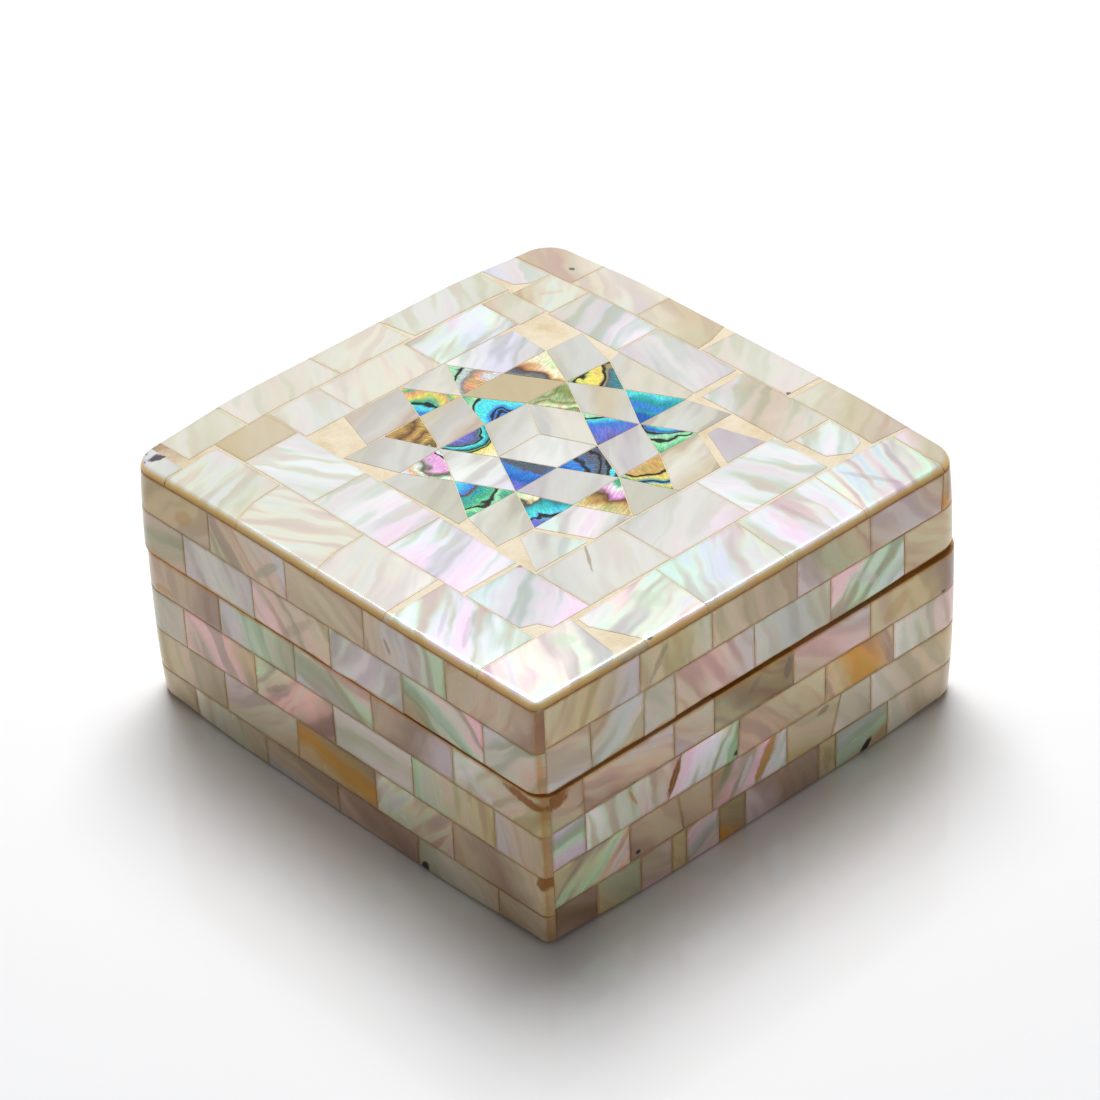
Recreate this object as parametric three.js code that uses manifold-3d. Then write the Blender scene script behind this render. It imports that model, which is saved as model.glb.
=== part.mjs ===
// Square trinket box veneered with mother-of-pearl plates. The lift-off lid carries a star of
// abalone triangles. Millimetres, +Z up, origin at the centre of the underside.
// The front is the -Y side and the right is the +X side.
import * as THREE from "three";
import { mergeVertices } from "three/addons/utils/BufferGeometryUtils.js";
import Module from "manifold-3d";

const wasm = await Module();
wasm.setup();

// Outside of the whole box
const WIDTH = 80;
const DEPTH = 77;
const HEIGHT = 38.2;
const CORNER_RADIUS = 4.6;
const NEAR_CORNER_RADIUS = 1.7;
const TOP_EDGE_RADIUS = 1;
const RIM_EDGE_RADIUS = 0.4;
const FOOT_EDGE_RADIUS = 0.5;

// Shell plates
const SIDE_PLATE = 1.5;
const TOP_PLATE = 1;
const STAR_BED = 0.25;
const JOINT_WIDTH = 0.3;
const JOINT_DEPTH = 0.25;

// Wooden carcasses
const RIM_HEIGHT = 24;
const SHADOW_LINE = 0.15;
const WOOD_WALL = 3.5;
const WOOD_FLOOR = 3.5;
const WOOD_LID_TOP = 3;
const CORNER_STEP = 1.3;
const LIP_THICKNESS = 1.4;
const LIP_HEIGHT = 2.5;
const LIP_CLEARANCE = 0.3;

// Square field of the star, and the two courses of border plates round it
const FIELD = { left: -25.1, right: 19.1, front: -19.2, back: 23.5 };
const MIDLINE = { left: -33.1, right: 29.4, front: -28.6, back: 31.5 };
const RIGHT_COURSE_END = 34.7;

// Star lattice: columns run along X, rows along Y, two half rows to a triangle's side
const STAR_CENTRE = new THREE.Vector2(-2.85, 2.45);
const COLUMN_PITCH = 7.25;
const ROW_PITCH = 7.54;
const LEFT_COLUMNS_SLIP = new THREE.Vector2(-0.4, -0.7);

// Courses of the side plates: the height of each course's top, and its upright joints
const COURSES = {
  front: {
    base: [
      { top: 5.0, joints: [-29.4, -14.5, 0, 15.7, 30.9] },
      { top: 11.4, joints: [-22.4, -7.7, 7.9, 22.6] },
      { top: 17.9, joints: [-30.1, -15.5, 0.2, 15.4, 30.9] },
      { top: RIM_HEIGHT, joints: [-22.2, -7.1, 8.1, 23.5] },
    ],
    lid: [
      { top: 30.8, joints: [-28.3, -14.2, 1.1, 15, 30.1] },
      { top: HEIGHT, joints: [-22.4, -7, 8.1, 23.4] },
    ],
  },
  right: {
    base: [
      { top: 6.0, joints: [-29.9, -22.2, -16.7, -14.2, -8.3, -3.5, 10.1, 13.2, 23.2] },
      { top: 12.1, joints: [-24, -15, -9.5, 4.2, 13.5, 20] },
      { top: 18.2, joints: [-31.4, -16, -4.3, 11.4, 24.1] },
      { top: RIM_HEIGHT, joints: [-31.5, -15.8, -8.8, 5.5, 19.7] },
    ],
    lid: [
      { top: 31.3, joints: [-29.6, -20.5, -15, -1, 12.7, 26.5] },
      { top: HEIGHT, joints: [-21, -8.5, 6.6, 20.1] },
    ],
  },
  back: runningBond(),
  left: runningBond(),
};

// Plain running bond of the two sides that face away
function runningBond() {
  const pitch = 15;
  const joints = (start) => [0, 1, 2, 3, 4].map((step) => start + step * pitch);
  const evenCourse = joints(-22.5).slice(0, 4);
  const oddCourse = joints(-30);
  return {
    base: [
      { top: 5.8, joints: oddCourse },
      { top: 11.9, joints: evenCourse },
      { top: 18, joints: oddCourse },
      { top: RIM_HEIGHT, joints: evenCourse },
    ],
    lid: [
      { top: 31, joints: oddCourse },
      { top: HEIGHT, joints: evenCourse },
    ],
  };
}

// Finishes
const WOOD = { color: 0x6d4526, roughness: 0.55, metalness: 0 };
const WHITE_NACRE = { color: 0xe9e5dc, roughness: 0.16, metalness: 0 };
const CREAM_NACRE = { color: 0xdcd2be, roughness: 0.18, metalness: 0 };
const TAUPE_NACRE = { color: 0xb3a595, roughness: 0.2, metalness: 0 };
const TAN_NACRE = { color: 0xd6c69c, roughness: 0.25, metalness: 0 };
const RESIN = { color: 0xcdb98f, roughness: 0.35, metalness: 0 };
const ABALONE_TEAL = { color: 0x2f9aa6, roughness: 0.14, metalness: 0 };
const ABALONE_BLUE = { color: 0x3a5e9c, roughness: 0.14, metalness: 0 };
const ABALONE_GREEN = { color: 0x8fae6e, roughness: 0.14, metalness: 0 };
const ABALONE_BRONZE = { color: 0xa98a54, roughness: 0.14, metalness: 0 };

// A closed solid from a three.js geometry, and back
function solidOf(geometry) {
  geometry.deleteAttribute("normal");
  geometry.deleteAttribute("uv");
  const merged = mergeVertices(geometry);
  return new wasm.Manifold(new wasm.Mesh({
    numProp: 3,
    vertProperties: new Float32Array(merged.attributes.position.array),
    triVerts: new Uint32Array(merged.index.array),
  }));
}

function geometryOf(solid) {
  const mesh = solid.getMesh();
  const geometry = new THREE.BufferGeometry();
  geometry.setAttribute("position", new THREE.BufferAttribute(mesh.vertProperties, 3));
  geometry.setIndex(new THREE.BufferAttribute(mesh.triVerts, 1));
  geometry.computeVertexNormals();
  return geometry;
}

function block(x0, x1, y0, y1, z0, z1) {
  const box = new THREE.BoxGeometry(x1 - x0, y1 - y0, z1 - z0);
  box.translate((x0 + x1) / 2, (y0 + y1) / 2, (z0 + z1) / 2);
  return solidOf(box);
}

// Block centred on the Z axis
function centredBlock(halfX, halfY, z0, z1) {
  return block(-halfX, halfX, -halfY, halfY, z0, z1);
}

function prism(points, z0, z1) {
  const flat = new THREE.ExtrudeGeometry(new THREE.Shape(points), {
    depth: z1 - z0,
    bevelEnabled: false,
  });
  flat.translate(0, 0, z0);
  return solidOf(flat);
}

// Plan of the box: a rectangle with four worn corners, the near one tighter than the others
function boxPlan() {
  const halfX = WIDTH / 2;
  const halfY = DEPTH / 2;
  const near = NEAR_CORNER_RADIUS;
  const worn = CORNER_RADIUS;
  const quarter = Math.PI / 2;
  const plan = new THREE.Shape();
  plan.absarc(halfX - near, -halfY + near, near, -quarter, 0);
  plan.absarc(halfX - worn, halfY - worn, worn, 0, quarter);
  plan.absarc(-halfX + worn, halfY - worn, worn, quarter, 2 * quarter);
  plan.absarc(-halfX + worn, -halfY + worn, worn, 2 * quarter, 3 * quarter);
  plan.closePath();
  return plan;
}

function roundedBody(z0, z1, edgeRadius) {
  const body = new THREE.ExtrudeGeometry(boxPlan(), {
    depth: z1 - z0 - 2 * edgeRadius,
    bevelThickness: edgeRadius,
    bevelSize: edgeRadius,
    bevelOffset: -edgeRadius,
    bevelSegments: 3,
    curveSegments: 6,
  });
  body.translate(0, 0, z0 + edgeRadius);
  return solidOf(body);
}

// Outer form between two heights, with a radius of its own on the lower and the upper edge
function outerForm(z0, z1, lowerRadius, upperRadius) {
  const beyond = 6;
  const upper = roundedBody(z0 - beyond, z1, upperRadius);
  return upper.intersect(roundedBody(z0, z1 + beyond, lowerRadius));
}

const baseForm = outerForm(0, RIM_HEIGHT - SHADOW_LINE, FOOT_EDGE_RADIUS, RIM_EDGE_RADIUS);
const lidForm = outerForm(RIM_HEIGHT + SHADOW_LINE, HEIGHT, RIM_EDGE_RADIUS, TOP_EDGE_RADIUS);

// Wooden carcasses, sized from the inside of the plates. Their upright corners are cut back in a
// square step, because the box is rounded there, and the left and right plates fill the step.
const woodHalfX = WIDTH / 2 - SIDE_PLATE;
const woodHalfY = DEPTH / 2 - SIDE_PLATE;
const hollowHalfX = woodHalfX - WOOD_WALL;
const hollowHalfY = woodHalfY - WOOD_WALL;
const woodTop = HEIGHT - TOP_PLATE;

function woodenBlock(z0, z1) {
  return centredBlock(woodHalfX - CORNER_STEP, woodHalfY, z0, z1)
    .add(centredBlock(woodHalfX, woodHalfY - CORNER_STEP, z0, z1));
}

function baseCarcass() {
  const lipTop = RIM_HEIGHT + LIP_HEIGHT;
  const lipHalfX = hollowHalfX + LIP_THICKNESS;
  const lipHalfY = hollowHalfY + LIP_THICKNESS;
  return woodenBlock(0, RIM_HEIGHT)
    .add(centredBlock(lipHalfX, lipHalfY, WOOD_FLOOR, lipTop))
    .subtract(centredBlock(hollowHalfX, hollowHalfY, WOOD_FLOOR, lipTop + 1));
}

// The lid's wall is rebated inside, so that it drops over the lip of the base
function lidCarcass() {
  const rebate = LIP_THICKNESS + LIP_CLEARANCE;
  const rebateTop = RIM_HEIGHT + LIP_HEIGHT + LIP_CLEARANCE;
  return woodenBlock(RIM_HEIGHT, woodTop)
    .subtract(centredBlock(hollowHalfX, hollowHalfY, RIM_HEIGHT - 1, woodTop - WOOD_LID_TOP))
    .subtract(centredBlock(hollowHalfX + rebate, hollowHalfY + rebate, RIM_HEIGHT - 1, rebateTop));
}

// Block on one side of the box, from u0 to u1 along it and from its face inwards to a depth.
// The front and back plates run the full width, and the left and right ones fit between them.
function sideBlock(side, u0, u1, z0, z1, inwards) {
  const outside = 1;
  const faceX = WIDTH / 2;
  const faceY = DEPTH / 2;
  if (side === "front") return block(u0, u1, -faceY - outside, -faceY + inwards, z0, z1);
  if (side === "back") return block(u0, u1, faceY - inwards, faceY + outside, z0, z1);
  if (side === "left") return block(-faceX - outside, -faceX + inwards, u0, u1, z0, z1);
  return block(faceX - inwards, faceX + outside, u0, u1, z0, z1);
}

// All the plates of one side, of the base or of the lid, with their joints as shallow grooves
function sidePlates(side, form, courses, z0, z1) {
  const across = side === "front" || side === "back";
  const halfLength = across ? WIDTH / 2 : DEPTH / 2 - SIDE_PLATE;
  const halfJoint = JOINT_WIDTH / 2;
  let slab = sideBlock(side, -halfLength, halfLength, z0, z1, SIDE_PLATE);
  if (!across) {
    const stepped = SIDE_PLATE + CORNER_STEP;
    slab = slab
      .add(sideBlock(side, -halfLength, CORNER_STEP - halfLength, z0, z1, stepped))
      .add(sideBlock(side, halfLength - CORNER_STEP, halfLength, z0, z1, stepped));
  }
  let plates = form.intersect(slab);
  let floor = z0 - 1;
  for (const { top, joints } of courses) {
    const ceiling = Math.min(top, z1 + 1);
    for (const u of joints) {
      const upright = sideBlock(side, u - halfJoint, u + halfJoint, floor, ceiling, JOINT_DEPTH);
      plates = plates.subtract(upright);
    }
    if (top < z1) {
      const level = sideBlock(side, -WIDTH, WIDTH, top - halfJoint, top + halfJoint, JOINT_DEPTH);
      plates = plates.subtract(level);
    }
    floor = top;
  }
  return plates;
}

// Plates of the lid's top: a region in plan, half a joint smaller all round
const topSlab = lidForm.intersect(centredBlock(WIDTH, DEPTH, woodTop, HEIGHT + 1));

// One straight course of border plates, with its cross joints as shallow grooves
function borderCourse({ x, y, joints, along, extra }) {
  const halfJoint = JOINT_WIDTH / 2;
  let region = block(x[0], x[1], y[0], y[1], woodTop, HEIGHT + 1);
  if (extra) region = region.add(block(...extra, woodTop, HEIGHT + 1));
  let course = topSlab.intersect(region);
  const floor = HEIGHT - JOINT_DEPTH;
  for (const u of joints) {
    const groove = along === "x"
      ? block(u - halfJoint, u + halfJoint, -DEPTH, DEPTH, floor, HEIGHT + 1)
      : block(-WIDTH, WIDTH, u - halfJoint, u + halfJoint, floor, HEIGHT + 1);
    course = course.subtract(groove);
  }
  return course;
}

const halfGap = JOINT_WIDTH / 2;
const edgeX = WIDTH / 2;
const edgeY = DEPTH / 2;
const OUTER_COURSES = {
  front: {
    x: [MIDLINE.left + halfGap, MIDLINE.right - halfGap],
    y: [-edgeY, MIDLINE.front - halfGap],
    joints: [-18.5, -2.5, 12.5],
    along: "x",
  },
  right: {
    x: [MIDLINE.right + halfGap, edgeX],
    y: [-edgeY, RIGHT_COURSE_END - halfGap],
    joints: [-23, -8.4, 6.1, 20.2],
    along: "y",
  },
  back: {
    x: [-edgeX, MIDLINE.right - halfGap],
    y: [MIDLINE.back + halfGap, edgeY],
    joints: [-28, -15, -2.8, 14.1],
    along: "x",
    extra: [MIDLINE.right - 1, edgeX, RIGHT_COURSE_END + halfGap, edgeY],
  },
  left: {
    x: [-edgeX, MIDLINE.left - halfGap],
    y: [-edgeY, MIDLINE.back - halfGap],
    joints: [-34, -22.7, -6.1, 6.4, 24.8],
    along: "y",
  },
};
const INNER_COURSES = {
  front: {
    x: [MIDLINE.left + halfGap, MIDLINE.right - halfGap],
    y: [MIDLINE.front + halfGap, FIELD.front - halfGap],
    joints: [-26.7, -13, 1.5, 16.1],
    along: "x",
  },
  right: {
    x: [FIELD.right + halfGap, MIDLINE.right - halfGap],
    y: [FIELD.front + halfGap, FIELD.back - halfGap],
    joints: [-4.9, 9.1],
    along: "y",
  },
  back: {
    x: [MIDLINE.left + halfGap, MIDLINE.right - halfGap],
    y: [FIELD.back + halfGap, MIDLINE.back - halfGap],
    joints: [-24.5, -10.5, 5.2, 21.6],
    along: "x",
  },
  left: {
    x: [MIDLINE.left + halfGap, FIELD.left - halfGap],
    y: [FIELD.front + halfGap, FIELD.back - halfGap],
    joints: [-10.4, 4.7, 18.9],
    along: "y",
  },
};

// Lattice point of the star, counted in columns and half rows from its centre
function latticePoint({ column, row }) {
  const point = new THREE.Vector2(column * COLUMN_PITCH, row * ROW_PITCH / 2).add(STAR_CENTRE);
  return column <= -2 ? point.add(LEFT_COLUMNS_SLIP) : point;
}

function sum(a, b) {
  return { column: a.column + b.column, row: a.row + b.row };
}

// Convex outline drawn inwards by a distance, or outwards when the distance is negative
function insetOutline(points, distance) {
  const anticlockwise = THREE.ShapeUtils.area(points) > 0 ? points : [...points].reverse();
  const count = anticlockwise.length;
  return anticlockwise.map((corner, index) => {
    const before = anticlockwise[(index + count - 1) % count];
    const after = anticlockwise[(index + 1) % count];
    const along = corner.clone().sub(before).normalize();
    const onwards = after.clone().sub(corner).normalize();
    const turn = along.cross(onwards);
    return onwards.sub(along).multiplyScalar(distance / turn).add(corner);
  });
}

const bedTop = woodTop + STAR_BED;
const fieldSides = [
  FIELD.left + halfGap, FIELD.right - halfGap,
  FIELD.front + halfGap, FIELD.back - halfGap,
];
const fieldBlock = block(...fieldSides, woodTop, HEIGHT + 1);

function starPlate(outline) {
  return prism(insetOutline(outline, halfGap), bedTop, HEIGHT).intersect(fieldBlock);
}

// Resin under the star. It rises to the surface wherever the field has no plate.
function resinFill(outlines) {
  let fill = block(...fieldSides, woodTop, HEIGHT);
  for (const outline of outlines) {
    fill = fill.subtract(prism(insetOutline(outline, -halfGap), bedTop, HEIGHT + 1));
  }
  return fill;
}

// The star grows from its centre: three rhombi, six triangles on the sides of their hexagon, six
// rhombi between those, twelve outer triangles, and plain shell out to the edge of the field
function starOutlines() {
  const centre = { column: 0, row: 0 };
  const hexagon = [[1, 1], [0, 2], [-1, 1], [-1, -1], [0, -2], [1, -1]]
    .map(([column, row]) => ({ column, row }));
  const corner = (index) => hexagon[(index + 6) % 6];
  const tip = (index) => sum(corner(index), corner(index + 1));
  const plates = [];
  const lay = (name, finish, ...corners) => {
    plates.push({ name, finish, outline: corners.map(latticePoint) });
  };
  for (let k = 0; k < 6; k += 1) {
    const here = corner(k);
    const ring = sum(here, here);
    const beyond = sum(ring, here);
    const before = tip(k - 1);
    const after = tip(k);
    const beforeOuter = sum(before, here);
    const afterOuter = sum(after, here);
    const number = k + 1;
    const odd = k % 2 === 1;
    if (odd) {
      const name = `star_centre_rhombus_${number / 2}`;
      lay(name, WHITE_NACRE, centre, corner(k - 1), here, corner(k + 1));
    }
    const ringFinish = k === 2 ? TAN_NACRE : WHITE_NACRE;
    const outerFinishes = odd ? [ABALONE_GREEN, ABALONE_TEAL] : [ABALONE_TEAL, ABALONE_BRONZE];
    lay(`star_inner_triangle_${number}`, ABALONE_BLUE, here, corner(k + 1), after);
    lay(`star_ring_rhombus_${number}`, ringFinish, here, before, ring, after);
    lay(`star_outer_triangle_${2 * k + 1}`, outerFinishes[0], ring, before, beforeOuter);
    lay(`star_outer_triangle_${2 * k + 2}`, outerFinishes[1], ring, after, afterOuter);
    lay(`field_notch_plate_${number}`, WHITE_NACRE, ring, beforeOuter, beyond, afterOuter);
    lay(`field_gap_plate_${number}`, WHITE_NACRE,
      after, afterOuter, sum(after, after), sum(after, corner(k + 1)));
  }
  const at = (column, row) => ({ column, row });
  lay("field_corner_plate_back", CREAM_NACRE, at(2, 4), at(3, 3), at(4, 3), at(4, 5.7), at(2, 4.6));
  lay("field_corner_plate_front", CREAM_NACRE,
    at(2, -4), at(3, -3), at(4, -3), at(4, -6.7), at(2, -4.7));
  return plates;
}

function addPart(group, name, finish, solid) {
  const part = new THREE.Mesh(geometryOf(solid), new THREE.MeshStandardMaterial(finish));
  part.name = name;
  group.add(part);
}

const base = new THREE.Group();
addPart(base, "base_carcass", WOOD, baseCarcass());
const lid = new THREE.Group();
addPart(lid, "lid_carcass", WOOD, lidCarcass());
for (const [side, courses] of Object.entries(COURSES)) {
  const basePlates = sidePlates(side, baseForm, courses.base, 0, RIM_HEIGHT);
  const lidPlates = sidePlates(side, lidForm, courses.lid, RIM_HEIGHT, woodTop);
  addPart(base, `base_plates_${side}`, TAUPE_NACRE, basePlates);
  addPart(lid, `lid_plates_${side}`, TAUPE_NACRE, lidPlates);
}
for (const [side, course] of Object.entries(OUTER_COURSES)) {
  addPart(lid, `top_border_outer_${side}`, CREAM_NACRE, borderCourse(course));
}
for (const [side, course] of Object.entries(INNER_COURSES)) {
  addPart(lid, `top_border_inner_${side}`, WHITE_NACRE, borderCourse(course));
}
const starLayout = starOutlines();
for (const { name, finish, outline } of starLayout) {
  addPart(lid, name, finish, starPlate(outline));
}
addPart(lid, "field_resin_fill", RESIN, resinFill(starLayout.map(({ outline }) => outline)));

const box = new THREE.Group();
box.add(base, lid);
export default box;
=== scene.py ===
# %% [markdown]
# # A square shell box
# The box is a thin wooden tray with a wooden lid, veneered all over with plates of
# mother-of-pearl. A star of abalone triangles sits in the middle of the lid. We load the
# measured solids first, because every plate that we cut has to lie on them.

# %% Load the measured solids
import math
import random

import bmesh
import bpy
from mathutils import Matrix, Vector, noise


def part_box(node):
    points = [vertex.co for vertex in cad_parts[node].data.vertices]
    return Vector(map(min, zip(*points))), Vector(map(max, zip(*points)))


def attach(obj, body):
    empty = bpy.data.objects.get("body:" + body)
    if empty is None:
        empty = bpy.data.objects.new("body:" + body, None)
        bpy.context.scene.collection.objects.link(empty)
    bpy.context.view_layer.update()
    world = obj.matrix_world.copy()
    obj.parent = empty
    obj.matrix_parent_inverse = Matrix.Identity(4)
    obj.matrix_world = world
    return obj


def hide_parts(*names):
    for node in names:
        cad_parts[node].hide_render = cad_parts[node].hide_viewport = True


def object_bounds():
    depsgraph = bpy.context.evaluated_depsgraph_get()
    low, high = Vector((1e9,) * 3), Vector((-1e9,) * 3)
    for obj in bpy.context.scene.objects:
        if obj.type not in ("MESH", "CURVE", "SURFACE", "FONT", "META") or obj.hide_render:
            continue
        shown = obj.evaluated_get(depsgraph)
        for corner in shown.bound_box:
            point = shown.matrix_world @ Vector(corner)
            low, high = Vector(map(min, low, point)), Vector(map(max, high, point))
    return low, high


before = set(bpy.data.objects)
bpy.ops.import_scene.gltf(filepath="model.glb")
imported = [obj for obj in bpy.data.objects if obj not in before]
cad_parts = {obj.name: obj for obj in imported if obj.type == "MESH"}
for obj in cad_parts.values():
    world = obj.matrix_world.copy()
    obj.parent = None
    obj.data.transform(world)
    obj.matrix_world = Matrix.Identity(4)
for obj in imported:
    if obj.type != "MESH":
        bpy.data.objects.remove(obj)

cad_low, cad_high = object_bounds()
MM = 0.001
HALF_X = cad_high.x / MM
HALF_Y = cad_high.y / MM
HEIGHT = cad_high.z / MM
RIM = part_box("base_plates_front")[1].z / MM
LID_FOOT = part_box("lid_plates_front")[0].z / MM
print(f"box {2 * HALF_X:.1f} x {2 * HALF_Y:.1f} x {HEIGHT:.1f} mm, rim at {RIM:.2f} mm")

# %% [markdown]
# ## The camera
# The photograph looks down on one corner of the box through a long lens, and the camera is
# tilted a little about its own axis. We write its place as two angles, a distance and a
# target, because those are the numbers that a photographer could read off a tripod. An
# azimuth of 0 looks at the front, and 90 looks at the right side.

# %% Set up the camera
AZIMUTH, ELEVATION, ROLL = 48.43, 35.289, math.radians(-2.562)
DISTANCE = 0.596
TARGET = Vector((0.002811, -0.002109, 0.025))
LENS, SENSOR = 148.55, 36


def towards(azimuth, elevation):
    """Direction from the box, for two angles in degrees."""
    a, e = math.radians(azimuth), math.radians(elevation)
    return Vector((math.sin(a) * math.cos(e), -math.cos(a) * math.cos(e), math.sin(e)))


outwards = towards(AZIMUTH, ELEVATION)
sideways = towards(AZIMUTH + 90, 0)
upwards = outwards.cross(sideways)
right = sideways * math.cos(ROLL) + upwards * math.sin(ROLL)
above = upwards * math.cos(ROLL) - sideways * math.sin(ROLL)
camera = bpy.data.objects.new("camera", bpy.data.cameras.new("camera"))
camera.data.sensor_width = SENSOR
camera.data.lens = LENS
camera.data.clip_start = 0.01
camera.data.clip_end = 20
turn = Matrix((right, above, outwards)).transposed().to_4x4()
camera.matrix_world = Matrix.Translation(TARGET + outwards * DISTANCE) @ turn
bpy.context.scene.collection.objects.link(camera)
bpy.context.scene.camera = camera
print(f"camera {DISTANCE / MM:.0f} mm from the box, lens {LENS:.0f} mm")

# %% [markdown]
# ## The hand-finished form
# A veneered box is glued up square and then sanded, so its corners and edges end up round
# and never quite even. We cut every plate as if the box were a sharp block, and then press
# its points onto the sanded form with one function. Neighbouring plates then follow the
# same curves, and their joints stay closed.

# %% Round the edges of the ideal block
TOP_ROUND, RIM_ROUND, FOOT_ROUND = 1.0, 0.22, 0.5
CORNER_ROUND = 4.6
NEAR_ROUND, NEAR_SWELL = 1.4, 1.2
SEAM = (RIM + LID_FOOT) / 2
LEVEL_EDGES = [
    (0, 1, FOOT_ROUND), (RIM, -1, RIM_ROUND), (LID_FOOT, 1, RIM_ROUND), (HEIGHT, -1, TOP_ROUND),
]


def corner_round(x, y, z):
    """Radius of the nearest upright corner. The near one is crisp and swells at the seam."""
    if x > 0 > y:
        return NEAR_ROUND + NEAR_SWELL * math.exp(-((z - RIM) / 3) ** 2)
    return CORNER_ROUND


def to_circle(a, b):
    """Moves a point of a square onto the quarter circle that fits it."""
    if a <= 0 or b <= 0:
        return a, b
    shrink = max(a, b) / math.hypot(a, b)
    return a * shrink, b * shrink


def shift_inwards(x, y, radius, old, new):
    """Moves a point from one depth behind the sides of the block to another."""
    gap_x, gap_y = HALF_X - abs(x), HALF_Y - abs(y)
    if gap_x < radius and gap_y < radius:
        scale = (radius - new) / (radius - old)
        x = math.copysign(HALF_X - radius + (radius - gap_x) * scale, x)
        y = math.copysign(HALF_Y - radius + (radius - gap_y) * scale, y)
    elif gap_x < gap_y:
        x = math.copysign(HALF_X - new, x)
    else:
        y = math.copysign(HALF_Y - new, y)
    return x, y


def round_block(x, y, z):
    """Rounds the level edges of the block and then its upright corners."""
    for edge, inwards, radius in LEVEL_EDGES:
        same_half = (z > SEAM) == (edge > SEAM)
        depth = (z - edge) * inwards
        side = min(HALF_X - abs(x), HALF_Y - abs(y))
        if same_half and -0.01 < depth < radius and side < radius:
            a, b = to_circle(radius - side, radius - depth)
            x, y = shift_inwards(x, y, corner_round(x, y, z), side, radius - a)
            z = edge + (radius - b) * inwards
    radius = corner_round(x, y, z)
    a, b = to_circle(abs(x) - HALF_X + radius, abs(y) - HALF_Y + radius)
    if abs(x) > HALF_X - radius and abs(y) > HALF_Y - radius:
        x = math.copysign(HALF_X - radius + a, x)
        y = math.copysign(HALF_Y - radius + b, y)
    return x, y, z


rounded = round_block(0, -HALF_Y, HEIGHT)
print("the lid's front edge rounds to", [round(c, 2) for c in rounded])

# %% [markdown]
# Years of handling have worn the corners more than the middle of each edge, and the lid no
# longer closes evenly: it sits tight at the left and stands open by half a millimetre at
# the right. These slow changes are added after the rounding. They only ever move points
# inwards, so the box keeps its measured size.

# %% Wear the corners and open the seam
SLACK = 0.1
SCALE_X = 1 - SLACK / HALF_X
SCALE_Y = 1 - SLACK / HALF_Y
RIGHT_OPENING, CHIP_DEPTH, FOOT_LIFT = 0.45, 0.25, 0.5
WAIST, PINCH, RIPPLE = 19, 0.012, 0.0012
# The wear starts so far from the middle of the lid, and then takes so long to be full.
WORN_X, WORN_Y = (18, 22), (17, 21)
# The next two are given at the left, near, right and far corners, as the camera sees them.
DROOP = (1.0, 0.15, 0.55, 0.8)
OPENING = (0.0, 0.12, 0.2, 0.15)


def ease(value):
    """Smooth step from 0 to 1."""
    value = min(max(value, 0), 1)
    return value * value * (3 - 2 * value)


def by_corner(x, y, left_near, near, right_far, far):
    """Blends four numbers given at the corners of the plan."""
    u, v = (x / HALF_X + 1) / 2, (y / HALF_Y + 1) / 2
    return (left_near * (1 - u) + near * u) * (1 - v) + (far * (1 - u) + right_far * u) * v


def wear(x, y, z):
    """Droops the corners, opens the seam and sets the lid a little to one side."""
    worn_x = ease((abs(x) - WORN_X[0]) / WORN_X[1])
    cornered = worn_x * ease((abs(y) - WORN_Y[0]) / WORN_Y[1])
    in_lid = z > SEAM
    if in_lid:
        up = ease((z - 28) / (HEIGHT - 28))
        z -= up * cornered * by_corner(x, y, *DROOP)
        opening = by_corner(x, y, *OPENING) + RIGHT_OPENING * cornered * (x > 0 < y)
        chipped = max(0, noise.noise(Vector((x, y, 0)) * 0.35)) * CHIP_DEPTH
        z += (opening + chipped) * (1 - ease((z - LID_FOOT) / 4))
    else:
        z += FOOT_LIFT * cornered * (1 - ease(z / 5))
    pinch = PINCH * cornered * (abs(z - WAIST) / WAIST) ** 3
    ripple = noise.noise(Vector((x, y, z)) * 0.09) * RIPPLE + RIPPLE
    x *= (1 - pinch - ripple) * SCALE_X
    y *= (1 - pinch - ripple) * SCALE_Y
    slide = -SLACK if in_lid else SLACK
    return x + slide, y + slide, z


def settle(x, y, z):
    """Point of the ideal block, in millimetres, to its place on the box in metres."""
    return Vector(wear(*round_block(x, y, z))) * MM


def from_corner(x, y):
    """Distance to the nearest upright corner, counted half near the well-worn ones."""
    distance = math.hypot(HALF_X - abs(x), HALF_Y - abs(y))
    return distance if x > 0 > y else distance * 0.5


print("near top corner settles at", [round(c / MM, 2) for c in settle(HALF_X, -HALF_Y, HEIGHT)])

# %% [markdown]
# ## Cutting a sheet of plates
# Each face of the box is laid out flat as outlines of plates. One sheet turns them into
# solid slabs: the outlines are inset by half a joint, given a thickness and a small bevel,
# and sliced by a grid so that they can bend round the corners. Attributes on each slab say
# which shell it was cut from and how its grain lies.

# %% Places on the five faces
FACES = {
    "front": lambda u, v, depth: (u, -HALF_Y + depth, v),
    "back": lambda u, v, depth: (u, HALF_Y - depth, v),
    "right": lambda u, v, depth: (HALF_X - depth, u, v),
    "left": lambda u, v, depth: (-HALF_X + depth, u, v),
    "top": lambda u, v, depth: (u, v, HEIGHT - depth),
}


def steps(start, stop, size):
    """Even cuts from start to stop."""
    count = max(1, round((stop - start) / size))
    return [start + (stop - start) * k / count for k in range(count + 1)]


def both_ways(cuts):
    """The same cuts on both sides of the middle."""
    return sorted(cuts + [-cut for cut in cuts])


def long_cuts(half):
    """Cuts along a side: wide apart on the flat and close together round the corners."""
    flat = half - CORNER_ROUND
    return both_ways(steps(0.01, flat, 2.5) + steps(flat + 0.3, half - 0.1, 0.45))


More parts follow.
